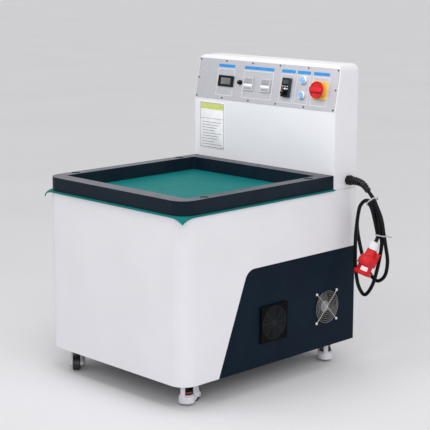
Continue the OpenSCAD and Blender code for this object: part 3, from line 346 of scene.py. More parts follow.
def addNode(tree, kind, settings=None, links=None):
    node = tree.nodes.new("ShaderNode" + kind)
    for key, value in (settings or {}).items():
        if isinstance(key, int) or key in node.inputs:
            node.inputs[key].default_value = value
        else:
            setattr(node, key, value)
    for key, source in (links or {}).items():
        tree.links.new(source, node.inputs[key])
    return node


def driftColour(finish, first, second, size):
    # colour that drifts between two shades over patches of this size
    tree = finish["tree"]
    noise = addNode(tree, "TexNoise", {"Scale": 1 / (size * mm), "Detail": 4.0}, {"Vector": finish["place"]})
    spread = addNode(tree, "MapRange", {"From Min": 0.38, "From Max": 0.62}, {"Value": noise.outputs["Fac"]})
    mix = addNode(tree, "Mix", {"data_type": "RGBA", 6: hexColour(first), 7: hexColour(second)},
                  {0: spread.outputs["Result"]})
    finish["colour"] = mix.outputs[2]


def driftGloss(finish, low, high, size):
    tree = finish["tree"]
    noise = addNode(tree, "TexNoise", {"Scale": 1 / (size * mm), "Detail": 5.0}, {"Vector": finish["place"]})
    spread = addNode(tree, "MapRange", {"From Min": 0.35, "From Max": 0.65, "To Min": low, "To Max": high},
                     {"Value": noise.outputs["Fac"]})
    tree.links.new(spread.outputs["Result"], finish["shader"].inputs["Roughness"])


def grain(finish, size, depth, kind="TexNoise"):
    # relief of this grain size and depth
    tree = finish["tree"]
    pattern = addNode(tree, kind, {"Scale": 1 / (size * mm)}, {"Vector": finish["place"]})
    height = pattern.outputs["Fac" if kind == "TexNoise" else "Distance"]
    bump = addNode(tree, "Bump", {"Strength": 1.0, "Distance": depth * mm}, {"Height": height})
    tree.links.new(bump.outputs["Normal"], finish["shader"].inputs["Normal"])


def flecks(finish, colour, size, share, strength):
    # small specks or pits of another shade, over what the colour already is
    tree = finish["tree"]
    cells = addNode(tree, "TexVoronoi", {"Scale": 1 / (size * mm)}, {"Vector": finish["place"]})
    pickOut = addNode(tree, "MapRange", {"From Min": share, "From Max": share * 0.6, "To Max": strength},
                      {"Value": cells.outputs["Distance"]})
    mix = addNode(tree, "Mix", {"data_type": "RGBA", 7: hexColour(colour)},
                  {0: pickOut.outputs["Result"], 6: finish["colour"]})
    finish["colour"] = mix.outputs[2]


def mixFinish(name, slot, colour, roughness, metallic=0.0, ior=1.5, specular=0.5, drift=None, gloss=None,
              relief=None, specks=None, **more):
    material = bpy.data.materials.new(name)
    material.use_nodes = True
    material.diffuse_color = hexColour(colour)
    tree = material.node_tree
    shader = tree.nodes["Principled BSDF"]
    shader.inputs["Base Color"].default_value = hexColour(colour)
    shader.inputs["Roughness"].default_value = roughness
    shader.inputs["Metallic"].default_value = metallic
    shader.inputs["IOR"].default_value = ior
    shader.inputs["Specular IOR Level"].default_value = specular
    for key, value in more.items():
        shader.inputs[key.replace("_", " ")].default_value = value
    finish = {"material": material, "tree": tree, "shader": shader, "slot": slot,
              "place": addNode(tree, "TexCoord").outputs["Object"]}
    for addLayer, values in ((driftColour, drift), (driftGloss, gloss), (grain, relief), (flecks, specks)):
        if values:
            addLayer(finish, *values)
    if "colour" in finish:
        tree.links.new(finish["colour"], shader.inputs["Base Color"])
    return finish


# polyester powder coat on folded steel: even white, satin, with the orange peel of a baked powder
whiteCoat = mixFinish(
    "powderCoatWhite", "white_powder_coat", "#eae9ee", 0.42, drift=("#ebeaef", "#e8e7ec", 160),
    gloss=(0.41, 0.45, 25), relief=(1.6, 0.05))

# the same powder in navy: deep colour, and a pale sheen where it is seen flat on
navyCoat = mixFinish(
    "powderCoatNavy", "navy_powder_coat", "#0d1c29", 0.46, specular=0.06, drift=("#0e1e2c", "#0c1a26", 140),
    gloss=(0.36, 0.46, 45), relief=(1.6, 0.05))

# sprayed two-pack paint on welded sheet: smoother and shinier than the powder, with a few dust nibs
troughPaint = mixFinish(
    "spraySatinNavy", "navy_trough", "#121f2a", 0.42, specular=0.12, drift=("#14222d", "#101c27", 120),
    gloss=(0.36, 0.48, 35), relief=(2.2, 0.06), specks=("#333d4a", 9, 0.07, 0.4))
# its upper faces, painted a lighter grey as the sheen that they show when seen at a low angle
troughTopSheen = mixFinish(
    "sprayNavyTopSheen", "navy_trough", "#2c323b", 0.34, drift=("#2f353e", "#292f38", 60),
    gloss=(0.32, 0.37, 25), relief=(2.2, 0.05))

# brushed and painted non-magnetic plate, seen only as an edge
platePaint = mixFinish(
    "paintedPlateWhite", "white_plate", "#dcdbe0", 0.5, drift=("#dedde2", "#d5d4d9", 60),
    relief=(1.6, 0.05))

# grey machine primer on square tube: dull, a little patchy
framePaint = mixFinish(
    "primerGrey", "frame_paint", "#4b5058", 0.6, drift=("#50555d", "#454a52", 70), relief=(1.2, 0.08))

# powder coat again, on the covers at the back
rearCoat = mixFinish(
    "powderCoatRear", "rear_paint", "#e6e5ea", 0.45, drift=("#e8e7ec", "#e1e0e5", 150),
    gloss=(0.4, 0.5, 60), relief=(1.6, 0.05))

# calendered nitrile rubber sheet: dull teal, the imprint of its cloth, grains of polishing dust
matRubber = mixFinish(
    "nitrileSheetTeal", "mat_rubber", "#007170", 0.6, specular=0.14, drift=("#017372", "#006f6e", 120),
    gloss=(0.57, 0.63, 30), relief=(1.4, 0.12), specks=("#7fa9a6", 26, 0.03, 0.4))

# bead-blasted, clear-anodised aluminium: silver-grey with a fine sparkle
panelMetal = mixFinish(
    "anodisedAluminium", "panel_aluminium", "#c0bfc5", 0.5, 0.55, drift=("#c6c5cb", "#bbbac0", 3),
    gloss=(0.47, 0.56, 12), relief=(0.9, 0.02))

# the filter's grille: moulded ABS in dead black
grilleBlack = mixFinish(
    "mouldedAbsGrille", "black_plastic", "#050606", 0.62, ior=1.54, specular=0.06,
    drift=("#070808", "#040505", 18), relief=(0.5, 0.03))

# its rings are painted a lighter grey as the sheen that they catch, the frame around them isn't
grille = {"x": 360, "y": -4, "z": 225.5, "ringReach": 57}
fromMiddle = addNode(grilleBlack["tree"], "VectorMath",
                     {"operation": "DISTANCE", 1: [grille[axis] * mm for axis in "xyz"]},
                     {0: grilleBlack["place"]})
onFrame = addNode(grilleBlack["tree"], "MapRange",
                  {"From Min": grille["ringReach"] * mm, "From Max": (grille["ringReach"] + 1) * mm},
                  {"Value": fromMiddle.outputs["Value"]})
# 27282a inside the ring area is painted sheen
paintedRingSheen = addNode(grilleBlack["tree"], "Mix", {"data_type": "RGBA", 6: hexColour("#27282a")},
                 {0: onFrame.outputs["Result"], 7: grilleBlack["colour"]})
grilleBlack["tree"].links.new(paintedRingSheen.outputs[2], grilleBlack["shader"].inputs["Base Color"])

# injection-moulded ABS with spark-eroded texture
blackPlastic = mixFinish(
    "mouldedAbsBlack", "black_plastic", "#0c0d0f", 0.42, ior=1.54, specular=0.15,
    drift=("#0f1012", "#0a0b0c", 18), gloss=(0.36, 0.48, 9), relief=(0.5, 0.03))
greyPlastic = mixFinish(
    "mouldedAbsGrey", "grey_plastic", "#c3c2c9", 0.45, ior=1.54, drift=("#c7c6cd", "#bdbcc3", 20),
    relief=(0.5, 0.03))
darkPlastic = mixFinish(
    "mouldedAbsDarkGrey", "dark_grey_plastic", "#30363b", 0.45, ior=1.54, specular=0.3,
    drift=("#343a40", "#2b3035", 18), relief=(0.5, 0.03))

# natural nylon: milky white, soft gloss
whiteNylon = mixFinish(
    "nylonWhite", "white_plastic", "#e9e8ec", 0.38, ior=1.53, Subsurface_Weight=0.08,
    Subsurface_Scale=0.002, drift=("#ecebee", "#e2e1e6", 14), relief=(0.7, 0.03))

# glass-filled polyamide: saturated red, half gloss, flow marks from the mould
redNylon = mixFinish(
    "polyamideRed", "red_plastic", "#d01d25", 0.38, ior=1.53, specular=0.24,
    drift=("#d52128", "#c71a21", 16), gloss=(0.33, 0.44, 11), relief=(0.8, 0.04))

# moulded polycarbonate, a warm yellow
yellowPlastic = mixFinish(
    "polycarbonateYellow", "yellow_plastic", "#f2bd4a", 0.4, ior=1.58, drift=("#f5c355", "#eeb540", 18),
    relief=(0.6, 0.03))

# tinted polycarbonate over a pale insert: light blue, half gloss
bluePlastic = mixFinish(
    "polycarbonateBlue", "blue_plastic", "#86b2e8", 0.3, ior=1.58, Coat_Weight=0.1,
    drift=("#92bbec", "#79a7e2", 7), relief=(1.2, 0.02))

# bright chrome on drawn wire: mirror-like with the slight waves of the drawing
chromeWire = mixFinish(
    "chromedWire", "chrome_metal", "#dddcd8", 0.36, 1.0, gloss=(0.3, 0.42, 6), relief=(1.2, 0.03))

# thinner wire of the rings, its plating gone dull
ringWire = mixFinish(
    "platedRingWire", "chrome_metal", "#b3b2ae", 0.34, 1.0, drift=("#bbbab6", "#a7a6a2", 9),
    relief=(1.2, 0.03))

# satin-chromed bezels
bezelMetal = mixFinish(
    "satinChrome", "chrome_metal", "#f0f0f2", 0.36, 1.0, gloss=(0.32, 0.42, 5), relief=(0.6, 0.006))

# turned and polished stainless steel
brightSteel = mixFinish(
    "turnedSteel", "bright_steel", "#cfd0d3", 0.26, 1.0, drift=("#d4d5d8", "#c5c6ca", 14),
    gloss=(0.2, 0.34, 8), relief=(0.8, 0.012))

# black-oxide screws, worn grey
screwSteel = mixFinish(
    "blackOxideSteel", "screw_steel", "#5a5a5f", 0.4, 1.0, drift=("#626267", "#505055", 3),
    relief=(0.5, 0.02))

# sand-cast aluminium under blue-grey machine paint: a coarse skin shows through
motorPaint = mixFinish(
    "castMotorPaint", "cast_motor", "#566270", 0.5, drift=("#5b6775", "#4e5a68", 40), relief=(2.5, 0.25))

# faced aluminium: fine turning lines
discMetal = mixFinish(
    "turnedAluminium", "disc_aluminium", "#c4c5c8", 0.34, 1.0, drift=("#c9cacd", "#bcbdc0", 30),
    relief=(1.0, 0.02))

# nickel plate over sintered magnets: a hard shine
magnetMetal = mixFinish(
    "nickelPlate", "magnet_nickel", "#b9b7b2", 0.22, 1.0, gloss=(0.16, 0.32, 10), relief=(1.0, 0.01))

# pressure-cast aluminium, left raw: dull grey with a slight skin
castMetal = mixFinish(
    "castAluminium", "fan_aluminium", "#2b2c2f", 0.55, 1.0, drift=("#303134", "#252629", 22),
    relief=(1.0, 0.08))
# aluminium foil label on the fan's hub, a little creased
hubFoil = mixFinish(
    "hubFoil", "fan_aluminium", "#a3a8af", 0.5, 1.0, drift=("#adb2b9", "#94999f", 6), relief=(2.5, 0.03))

# glass-filled nylon blades: dark grey, half gloss
bladePlastic = mixFinish(
    "bladeNylon", "fan_blade", "#0f1011", 0.42, ior=1.53, specular=0.2, drift=("#131416", "#0c0d0e", 14),
    relief=(0.7, 0.04))

# extruded rubber cable jacket: near black, a long soft gloss and faint talc bloom
cordRubber = mixFinish(
    "rubberJacket", "cord_rubber", "#090a0c", 0.34, specular=0.16, drift=("#0b0c0e", "#070809", 40),
    gloss=(0.28, 0.46, 22), relief=(1.5, 0.05), specks=("#3a3c40", 16, 0.05, 0.35))

# moulded rubber of the bend sleeve, shinier than the cord
sleeveRubber = mixFinish(
    "mouldedRubber", "sleeve_rubber", "#090a0c", 0.3, specular=0.5, drift=("#0c0d0f", "#070809", 12),
    relief=(0.6, 0.05))

# white enamel on die-cast zinc: rounded and glossy, with nicks from the shop floor
whiteEnamel = mixFinish(
    "enamelWhite", "caster_white", "#e2e1e6", 0.3, Coat_Weight=0.25, drift=("#e6e5ea", "#dad9de", 16),
    gloss=(0.25, 0.4, 10), relief=(2.0, 0.08), specks=("#a3a19e", 9, 0.05, 0.5))

# moulded nylon wheels, floor dust pressed into the tread
wheelNylon = mixFinish(
    "nylonBlack", "wheel_nylon", "#191a1d", 0.44, ior=1.53, drift=("#1d1e21", "#141518", 12),
    gloss=(0.36, 0.6, 8), relief=(1.2, 0.08), specks=("#5c5a56", 5, 0.09, 0.5))

# red nylon of the grip bands and of one key
thumbRed = mixFinish(
    "mouldedNylonRed", "thumb_red", "#c8322a", 0.4, ior=1.53, drift=("#cf362d", "#bb2d26", 9),
    relief=(0.7, 0.04))

# cast polyurethane feet: dull and slightly mottled
footRubber = mixFinish(
    "polyurethaneFoot", "foot_rubber", "#26272a", 0.6, drift=("#2b2c2f", "#202124", 9), relief=(0.9, 0.08))

# nickelled brass pins
pinBrass = mixFinish(
    "nickelledBrass", "pin_brass", "#c9b27a", 0.28, 1.0, drift=("#cfb980", "#bda66d", 5),
    relief=(0.6, 0.01))

# screen print and foils
captionBlue = mixFinish(
    "printedFoilBlue", "blue_plastic", "#1f8ad2", 0.36, drift=("#248fd6", "#1b83ca", 12),
    relief=(0.8, 0.01))
printWhite = mixFinish(
    "screenPrintWhite", "white_plastic", "#ececf0", 0.5, drift=("#efeff3", "#e7e7eb", 6),
    relief=(0.5, 0.01))
printGrey = mixFinish(
    "screenPrintGrey", "dark_grey_plastic", "#505056", 0.5, drift=("#56565c", "#4a4a50", 6),
    relief=(0.5, 0.01))
printPale = mixFinish(
    "screenPrintPale", "grey_plastic", "#b6b5bc", 0.5, drift=("#bab9c0", "#b0afb6", 6), relief=(0.5, 0.01))
cardFoil = mixFinish(
    "laminatedCardWhite", "white_plastic", "#f2f1f5", 0.3, drift=("#f4f3f7", "#eeedf1", 30),
    relief=(6.0, 0.03))
cardGreen = mixFinish(
    "laminatedCardHeader", "yellow_plastic", "#d0d676", 0.3, drift=("#d6db82", "#c8cf68", 10),
    relief=(6.0, 0.03))

# cable tie nylon: greyer and more see-through than the plug's nut
tieNylon = mixFinish(
    "nylonNatural", "white_plastic", "#b2b2b7", 0.38, ior=1.53, drift=("#b9b9be", "#a9a9ae", 8),
    relief=(0.6, 0.02))

# smoke-grey lens of the timers, lit from the front
timerGlass = mixFinish(
    "timerLens", "grey_plastic", "#97969f", 0.2, ior=1.52, Coat_Weight=0.3, drift=("#a09fa8", "#8e8d96", 7))

# display glass: dark tint over a grey panel
screenGlass = mixFinish(
    "screenGlass", "dark_grey_plastic", "#5e6468", 0.12, ior=1.52, Coat_Weight=0.5,
    drift=("#666c70", "#565c60", 20))
darkGlass = mixFinish(
    "smokedWindow", "black_plastic", "#26292d", 0.12, ior=1.52, Coat_Weight=0.5,
    drift=("#2b2f33", "#212428", 12))

# open-cell filter foam behind the grille: black, all pores
filterFoam = mixFinish(
    "filterFoam", "black_plastic", "#08080a", 0.95, specular=0.05, drift=("#0c0c0e", "#050506", 3),
    relief=(2.5, 1.2, "TexVoronoi"))
print("finishes mixed")

# the inner works, which stay as they are in CAD
for node, finish in {"base_frame": framePaint, "control_gear": greyPlastic, "drive_motor": motorPaint,
                     "motor_plate": castMetal, "spindle": brightSteel, "magnet_disc": discMetal,
                     "disc_magnets": magnetMetal}.items():
    for slot in nodes[node].material_slots:
        slot.material = finish["material"]

# power cord: the route that the machine's cord takes, from the gland to the plug
cordSettings = {"diameter": 13, "steps": 6, "sides": 20}
sleeveRoute = [
    (378, 374, 670), (385, 374, 670), (392, 374, 670), (417, 374, 665), (434, 374, 654), (440, 374, 648),
    (446, 374, 642)]
cordRoute = [
    (446, 374, 642), (453, 374, 635), (460, 374, 628), (470, 375, 616), (488, 376, 585), (506, 376, 549),
    (519, 376, 493), (525, 379, 455), (529, 386, 402), (515, 392, 350), (483, 395, 323), (453, 396, 334),
    (426, 396, 371), (404, 396, 414), (383, 394, 502), (393, 391, 568), (408, 389, 593), (429, 388, 605),
    (452, 387, 600), (477, 382, 572), (494, 378, 532), (504, 376, 493), (503, 384, 465), (499, 384, 428),
    (488, 379, 362), (469, 377, 304), (438, 376, 268), (409, 375, 299), (396, 374, 362), (393, 374, 426),
    (395, 373, 485), (408, 371, 570), (422, 371, 596), (439, 371, 608), (455, 371, 599), (471, 372, 568),
    (490, 376, 494), (491, 372, 479), (489, 368, 468)]
cordPath = smoothRoute(sleeveRoute + cordRoute[1:], cordSettings["steps"])
powerCord = tubeAlong("powerCord", cordPath, [cordSettings["diameter"] * mm / 2] * len(cordPath),
                      cordSettings["sides"])
settle(powerCord, cordRubber, "power_cord", smooth=60)

# bend sleeve: moulded rings that grow thinner toward the cord, and a plain lip at each end
sleeve = {"start": 30, "end": 22, "ring": 8.6, "groove": 4.2, "steps": 26}
sleevePath = smoothRoute(sleeveRoute, sleeve["steps"])
sleeveLength = sum((b - a).length for a, b in zip(sleevePath, sleevePath[1:])) / mm
sleeveRadii = []
gone = 0.0
for i, place in enumerate(sleevePath):
    if i:
        gone += (place - sleevePath[i - 1]).length / mm
    share = gone / sleeveLength
    outer = (sleeve["start"] + (sleeve["end"] - sleeve["start"]) * share) / 2
    ringShare = 0.5 - 0.5 * math.cos(2 * math.pi * gone / sleeve["ring"])
    groove = sleeve["groove"] * min(1.0, max(0.0, ringShare * 2.2 - 0.7))
    if gone < 3 or gone > sleeveLength - 4:
        groove = 0.0
    sleeveRadii.append((outer - groove) * mm)
bendSleeve = tubeAlong("bendSleeve", sleevePath, sleeveRadii, 28)
settle(bendSleeve, sleeveRubber, "strain_relief", smooth=50)

# cable gland: hexagon, knurled dome nut, and the lock nut inside the wall
gland = {"y": 374, "z": 670, "face": 352, "ribs": (18, (2.0, 9.0, 1.2, 0.0, 0.4), 16.5, 11)}
glandParts = [
    turned("glandHexagon", [(17, 0), (17.8, 0.8), (17.8, 5.2), (17, 6)], 6),
    turned("glandDome", [(16.2, 5.5), (17, 6.4), (17, 15), (16.6, 18), (15.8, 21), (14.6, 23.6), (12.6, 25.4),
                         (11, 26)], 48),
    turned("glandLockNut", [(17, -8), (17.4, -7.6), (17.4, -2.4), (17, -2)], 6),
    turned("glandThread", [(12, -8.4), (12, 0.4)], 32),
]
glandParts += ribs(*gland["ribs"])
glandPlace = onRight(gland["y"], gland["z"], gland["face"])
cableGland = settle(moved(joined("cableGland", glandParts), glandPlace), blackPlastic, "cable_gland")

# plug: domed nylon nut, red body with a shoulder, a ridged lobe on one side, a bare label and an open collar
plug = {"lobe": (21.0, 34.0, 15.0, 3.0, 2.0), "lobeTurn": 137.7, "lobeOut": 17, "lobeMiddle": 51,
        "nutRibs": (20, (1.6, 17.0, 0.9, 0.0, 0.3), 18.2, 16.5, 91.5),
        "ridges": 9, "ridge": (17.0, 2.4, 2.0, 0.0, 0.8), "ridgeOut": 31.4, "firstRidge": 36,
        "ridgeStep": 5.4, "key": (9.0, 33.0, 5.0, 1.0, 0.8), "keyOut": 24, "keyMiddle": 105, "pins": 5,
        "pinRing": 16, "pinFloor": 88,
        "label": (25.0, 15.0, 0.8, 1.0, 0.2), "labelTurn": -123.5, "labelRadius": 26.0, "labelMiddle": 99}
plugAxis = (cordPath[-1] - cordPath[-2]).normalized()
plugSide = Vector((0, 1, 0)).cross(plugAxis).normalized()
plugUp = plugAxis.cross(plugSide)
plugPlace = Matrix.Translation(cordPath[-1]) @ Matrix((plugSide, plugUp, plugAxis)).transposed().to_4x4()
outward = turnBy(90, "Y") @ turnBy(90, "Z")
nutParts = [turned("plugNut", [(7.5, -1), (10.4, 0), (14.8, 1.2), (17.2, 4.4), (18.2, 9), (18.6, 15),
                               (18.8, 21), (18.9, 25.4), (18.6, 27.4), (16.5, 28.2)], 48)]
nutParts += ribs(*plug["nutRibs"])
plugNut = settle(moved(joined("plugNut", nutParts), plugPlace), whiteNylon, "plug_nut")

bodyParts = [turned("plugShell", [
    (15, 27), (17.2, 28), (17.8, 31), (18.6, 40), (20.2, 50), (20.8, 51.2), (25, 51.8), (27, 54), (30.4, 62),
    (32.1, 68.5), (32.5, 70.5), (32.5, 85.6), (31.8, 87.4), (26.6, 88.2), (26, 89), (26, 108.8), (27, 109.6),
    (31.2, 110.2), (32, 111.2), (32, 120.8), (31.2, 122), (24, 122), (23, 121), (23, 89), (22, 88)], 72)]
lobeTurn = turnBy(plug["lobeTurn"], "Z")
lobe = roundedPlate("plugLobe", *plug["lobe"])
bodyParts.append(moved(lobe, lobeTurn @ shift(plug["lobeOut"], 0, plug["lobeMiddle"]) @ outward))
ridgePlaces = [plug["firstRidge"] + plug["ridgeStep"] * i for i in range(plug["ridges"])]
bodyParts += copies(roundedPlate("plugRidge", *plug["ridge"]),
                    [lobeTurn @ shift(plug["ridgeOut"], 0, along) @ outward for along in ridgePlaces])
keyRib = roundedPlate("plugKey", *plug["key"])
bodyParts.append(moved(keyRib, shift(0, plug["keyOut"], plug["keyMiddle"]) @ turnBy(-90, "X")))
plugShell = settle(moved(joined("plugShell", bodyParts), plugPlace), redNylon, "plug_body")

# the label follows the round of the collar
plugLabel = roundedPlate("plugLabel", *plug["label"])
editAll(plugLabel)
bpy.ops.mesh.quads_convert_to_tris()
bpy.ops.mesh.subdivide(number_cuts=3)
leaveEdit()
for spot in plugLabel.data.vertices:
    around = spot.co.x / (plug["labelRadius"] * mm)
    out = plug["labelRadius"] * mm + spot.co.z
    spot.co = Vector((out * math.cos(around), out * math.sin(around), plug["labelMiddle"] * mm + spot.co.y))
settle(moved(plugLabel, plugPlace @ turnBy(plug["labelTurn"], "Z")), cardFoil)

pin = turned("plugPin", [(2.5, 0), (2.5, 20), (2.1, 22.6), (1.2, 24)], 20)
pinParts = copies(pin, [turn @ shift(plug["pinRing"], 0, plug["pinFloor"])
                        for turn in allAround(plug["pins"], turnBy(90, "Z"))])
plugPins = settle(moved(joined("plugPins", pinParts), plugPlace), pinBrass, "plug_pins")

# cable ties with their locks
ties = {"lock": (6.0, 7.0, 5.0, 1.0, 0.8), "locks": [((522.5, 376.7, 493.0), 0), ((445.5, 378.0, 592.0), 43)]}
tieParts = [dress("cable_ties", tieNylon, 0.3, 2, keep=True)]
tieParts += copies(roundedPlate("tieLock", *ties["lock"]), [
    shift(*place) @ turnBy(lean, "Y") @ shift(0, 0, -ties["lock"][2] / 2) for place, lean in ties["locks"]])
cableTies = settle(joined("cableTies", tieParts), tieNylon, "cable_ties")
print("cable, plug and ties made")

# floor and studio
studio = {"floor": 120, "seen": "#f0f0f3", "sky": 0.72}
clearSelection()
bpy.ops.mesh.primitive_plane_add(size=studio["floor"])
studioFloor = bpy.context.object
studioFloor.name = "studioFloor"
floorFinish = mixFinish(
    "matFloor", "white_plate", "#ececef", 0.8, ior=1.4, drift=("#ededf0", "#ebebee", 900))
studioFloor.data.materials.append(floorFinish["material"])

world = bpy.data.worlds.new("studioWorld")
scene.world = world
world.use_nodes = True
sky = world.node_tree
sky.nodes.clear()
rays = addNode(sky, "LightPath")
seenOrGlossy = addNode(sky, "Math", {"operation": "MAXIMUM"},
                       {0: rays.outputs["Is Camera Ray"], 1: rays.outputs["Is Glossy Ray"]})
seenAtAll = addNode(sky, "Math", {"operation": "MAXIMUM"},
                    {0: seenOrGlossy.outputs[0], 1: rays.outputs["Is Transmission Ray"]})
lighting = addNode(sky, "Background", {"Color": hexColour("#ffffff"), "Strength": studio["sky"]})
backdrop = addNode(sky, "Background", {"Color": hexColour(studio["seen"]), "Strength": 1.0})
blend = addNode(sky, "MixShader", None, {0: seenAtAll.outputs[0], 1: lighting.outputs[0],
                                         2: backdrop.outputs[0]})
addNode(sky, "OutputWorld", None, {"Surface": blend.outputs[0]})

lamps = {
    "keySoftbox": {"place": (-0.6, -4.6, 3.4), "aim": (0, 0, 0.5), "size": 2.6, "power": 3.4},
    "sideSoftbox": {"place": (4.6, 0.6, 3.0), "aim": (0, 0, 0.5), "size": 2.6, "power": 22},
    "boxSoftbox": {"place": (0.15, -0.5, 1.66), "aim": (0, 0.3, 0.92), "size": 0.8, "power": 7.4},
    "cornerSoftbox": {"place": (2.9, -3.1, 2.1), "aim": (0.3, -0.4, 0.5), "size": 1.6, "power": 26},
}
for name, lamp in lamps.items():
    aim = Vector(lamp["aim"]) - Vector(lamp["place"])
    clearSelection()
    bpy.ops.object.light_add(type="AREA", location=lamp["place"],
                             rotation=aim.to_track_quat("-Z", "Y").to_euler())
    light = bpy.context.object
    light.name = name
    light.data.shape = "SQUARE"
    light.data.size = lamp["size"]
    light.data.energy = lamp["power"]
    light.visible_camera = False
print("studio lit")

# cabinet, covers and box: the folded sheet gets its rounded folds
for node, finish, width in (
        ("cabinet_shell", whiteCoat, 0.8), ("right_side_panel", navyCoat, 0.8),
        ("left_side_panel", navyCoat, 0.8), ("rear_panel", rearCoat, 0.7), ("top_plate", platePaint, 1.0),
        ("riser_shell", whiteCoat, 0.8), ("riser_cover", rearCoat, 0.7)):
    dress(node, finish, width)
print("cabinet dressed")

# trough: welded and sprayed, with caps let into its beams
troughFrame = dress("trough_frame", troughPaint, 1.6)
troughFrame.data.materials.append(troughTopSheen["material"])
# upward faces on top take the lighter grey of the painted sheen
for face in troughFrame.data.polygons:
    if face.normal.z > 0.8 and face.center.z > 0.68:
        face.material_index = 1
dress("trough_caps", darkPlastic, 0.8)

# rubber mat: lies under the trough, reaches past the cabinet, and droops where nothing carries it
mat = {"x": 360, "front": -428, "back": 299.7, "thickness": 3, "z": 642, "cells": 110,
       "edgeX": 352, "edgeY": -420, "corner": 58, "bendRadius": 24}


def reachPast(x, y):
    # how far past the cabinet's outline, and in which direction
    cornerX = mat["edgeX"] - mat["corner"]
    cornerY = mat["edgeY"] + mat["corner"]
    side = 1 if x > 0 else -1
    if abs(x) > cornerX and y < cornerY:
        across, along = abs(x) - cornerX, y - cornerY
        far = math.hypot(across, along)
        return far - mat["corner"], side * across / far, along / far
    if abs(x) > mat["edgeX"]:
        return abs(x) - mat["edgeX"], side, 0.0
    return mat["edgeY"] - y, 0.0, -1.0


clearSelection()
bpy.ops.mesh.primitive_grid_add(x_subdivisions=mat["cells"], y_subdivisions=mat["cells"], size=1)
workMat = bpy.context.object
workMat.name = "workMat"
matWidth = 2 * mat["x"]
matDepth = mat["back"] - mat["front"]
workMat.scale = (matWidth * mm, matDepth * mm, 1)
workMat.location = (0, (mat["back"] + mat["front"]) / 2 * mm, mat["z"] * mm)
applyPlace()
for spot in workMat.data.vertices:
    x, y = spot.co.x / mm, spot.co.y / mm
    past, outX, outY = reachPast(x, y)
    if past > 0:
        wave = 1 + 0.16 * math.sin(0.021 * x + 1.3) * math.sin(0.027 * y)
        radius = mat["bendRadius"] * wave
        angle = past / radius
        back = past - radius * math.sin(angle)
        spot.co = Vector((x - outX * back, y - outY * back, mat["z"] - radius * (1 - math.cos(angle)))) * mm
addModifier(workMat, "sheetThickness", "SOLIDIFY", thickness=mat["thickness"] * mm, offset=1.0)
settle(workMat, matRubber, "work_mat", smooth=30)
print("trough and mat made")

# control panel with its blank captions and printed outlines
dress("control_panel", panelMetal, 0.5)
panelPrint = {"sections": [(-242, -157, 16), (-107, 42, 16), (80, 146, 14), (156, 218, 14), (232, 307, 14)],
              "top": 116, "strip": 11.5, "stripMiddle": 126.25, "stripLift": 1.72, "line": 1.3, "ink": 0.4,
              "lift": 1.75, "table": (-330, -255, 12, 130), "tableLine": 0.9, "rule": 0.8, "rows": 7,
              "columnShares": (0.28, 0.64)}
stripParts, frameParts = [], []
for left, right, low in panelPrint["sections"]:
    middle = (left + right) / 2
    stripParts.append(plateOn("strip", (right - left, panelPrint["strip"], 0.5, 2.6), middle,
                              panelPrint["stripMiddle"], panelPrint["stripLift"]))
    outline = printedFrame("outline", right - left, panelPrint["top"] - low, panelPrint["line"],
                           panelPrint["ink"])
    frameParts.append(moved(outline, onSlope(middle, (low + panelPrint["top"]) / 2, panelPrint["lift"])))
settle(joined("captionStrips", stripParts), captionBlue)
settle(joined("sectionOutlines", frameParts), printWhite)
left, right, low, high = panelPrint["table"]
wide, tall = right - left, high - low
ink, lift = panelPrint["ink"], panelPrint["lift"]
middle, centre = (left + right) / 2, (low + high) / 2
tableParts = [moved(printedFrame("tableOutline", wide, tall, panelPrint["tableLine"], ink),
                    onSlope(middle, centre, lift))]
for i in range(1, panelPrint["rows"]):
    tableParts.append(plateOn("tableRule", (wide - 1, panelPrint["rule"], ink), middle,
                              low + tall * i / panelPrint["rows"], lift))
for share in panelPrint["columnShares"]:
    tableParts.append(plateOn("tableColumn", (panelPrint["rule"], tall - 1, ink), left + wide * share,
                              centre, lift))
settle(joined("blankTable", tableParts), printPale)

# panel screws: button heads with a socket
screws = {"columns": (-342, -205.2, -68.4, 68.4, 205.2, 342), "rows": (6, 144), "middle": 75, "panel": 2.0}
screwPlaces = [(x, t) for x in screws["columns"] for t in screws["rows"]]
screwPlaces += [(x, screws["middle"]) for x in (screws["columns"][0], screws["columns"][-1])]
screwProfile = [(3.2, 0), (3.25, 0.5), (3.1, 1.2), (2.5, 1.9), (1.9, 2.2), (1.55, 2.2), (1.45, 0.9)]
screwHead = turned("panelScrew", screwProfile, 20)
screwParts = copies(screwHead, [onSlope(x, t, screws["panel"]) for x, t in screwPlaces])
settle(joined("panelScrews", screwParts), screwSteel, "panel_screws")
print("control panel made")

# display: bezel, screen behind a pane
display = {"screen": (50.5, 24, 0.6, 0.8, 0.2), "place": (-194, 69.5, 5.55)}
dress("display_unit", blackPlastic, 0.6)
settle(plateOn("displayScreen", display["screen"], *display["place"]), screenGlass)

# timers: window, light band and three keys each
timer = {"places": [(-75.516, 67.305), (10.51, 66.705)], "lift": 7.5,
         "window": (41, 19.0, 0.9, 1.0, 0.2), "windowRise": 11.2,
         "key": (10.5, 6.6, 1.4, 1.0, 0.5), "keyStep": 12.6, "keyDrop": 15.6,
         "band": (41, 8.5, 0.5, 0.8, 0.1), "bandDrop": 4.2, "bandLift": 7.7}
dress("timers", greyPlastic, 0.7)
windowParts, timerBandParts = [], []
for x, t in timer["places"]:
    windowParts.append(plateOn("timerWindow", timer["window"], x, t + timer["windowRise"], timer["lift"]))
    for i in (-1, 0, 1):
        windowParts.append(plateOn("timerKey", timer["key"], x + i * timer["keyStep"], t - timer["keyDrop"],
                                   timer["lift"]))
    timerBandParts.append(plateOn("timerBand", timer["band"], x, t - timer["bandDrop"], timer["bandLift"]))
settle(joined("timerWindows", windowParts), timerGlass)
settle(joined("timerBands", timerBandParts), printWhite)

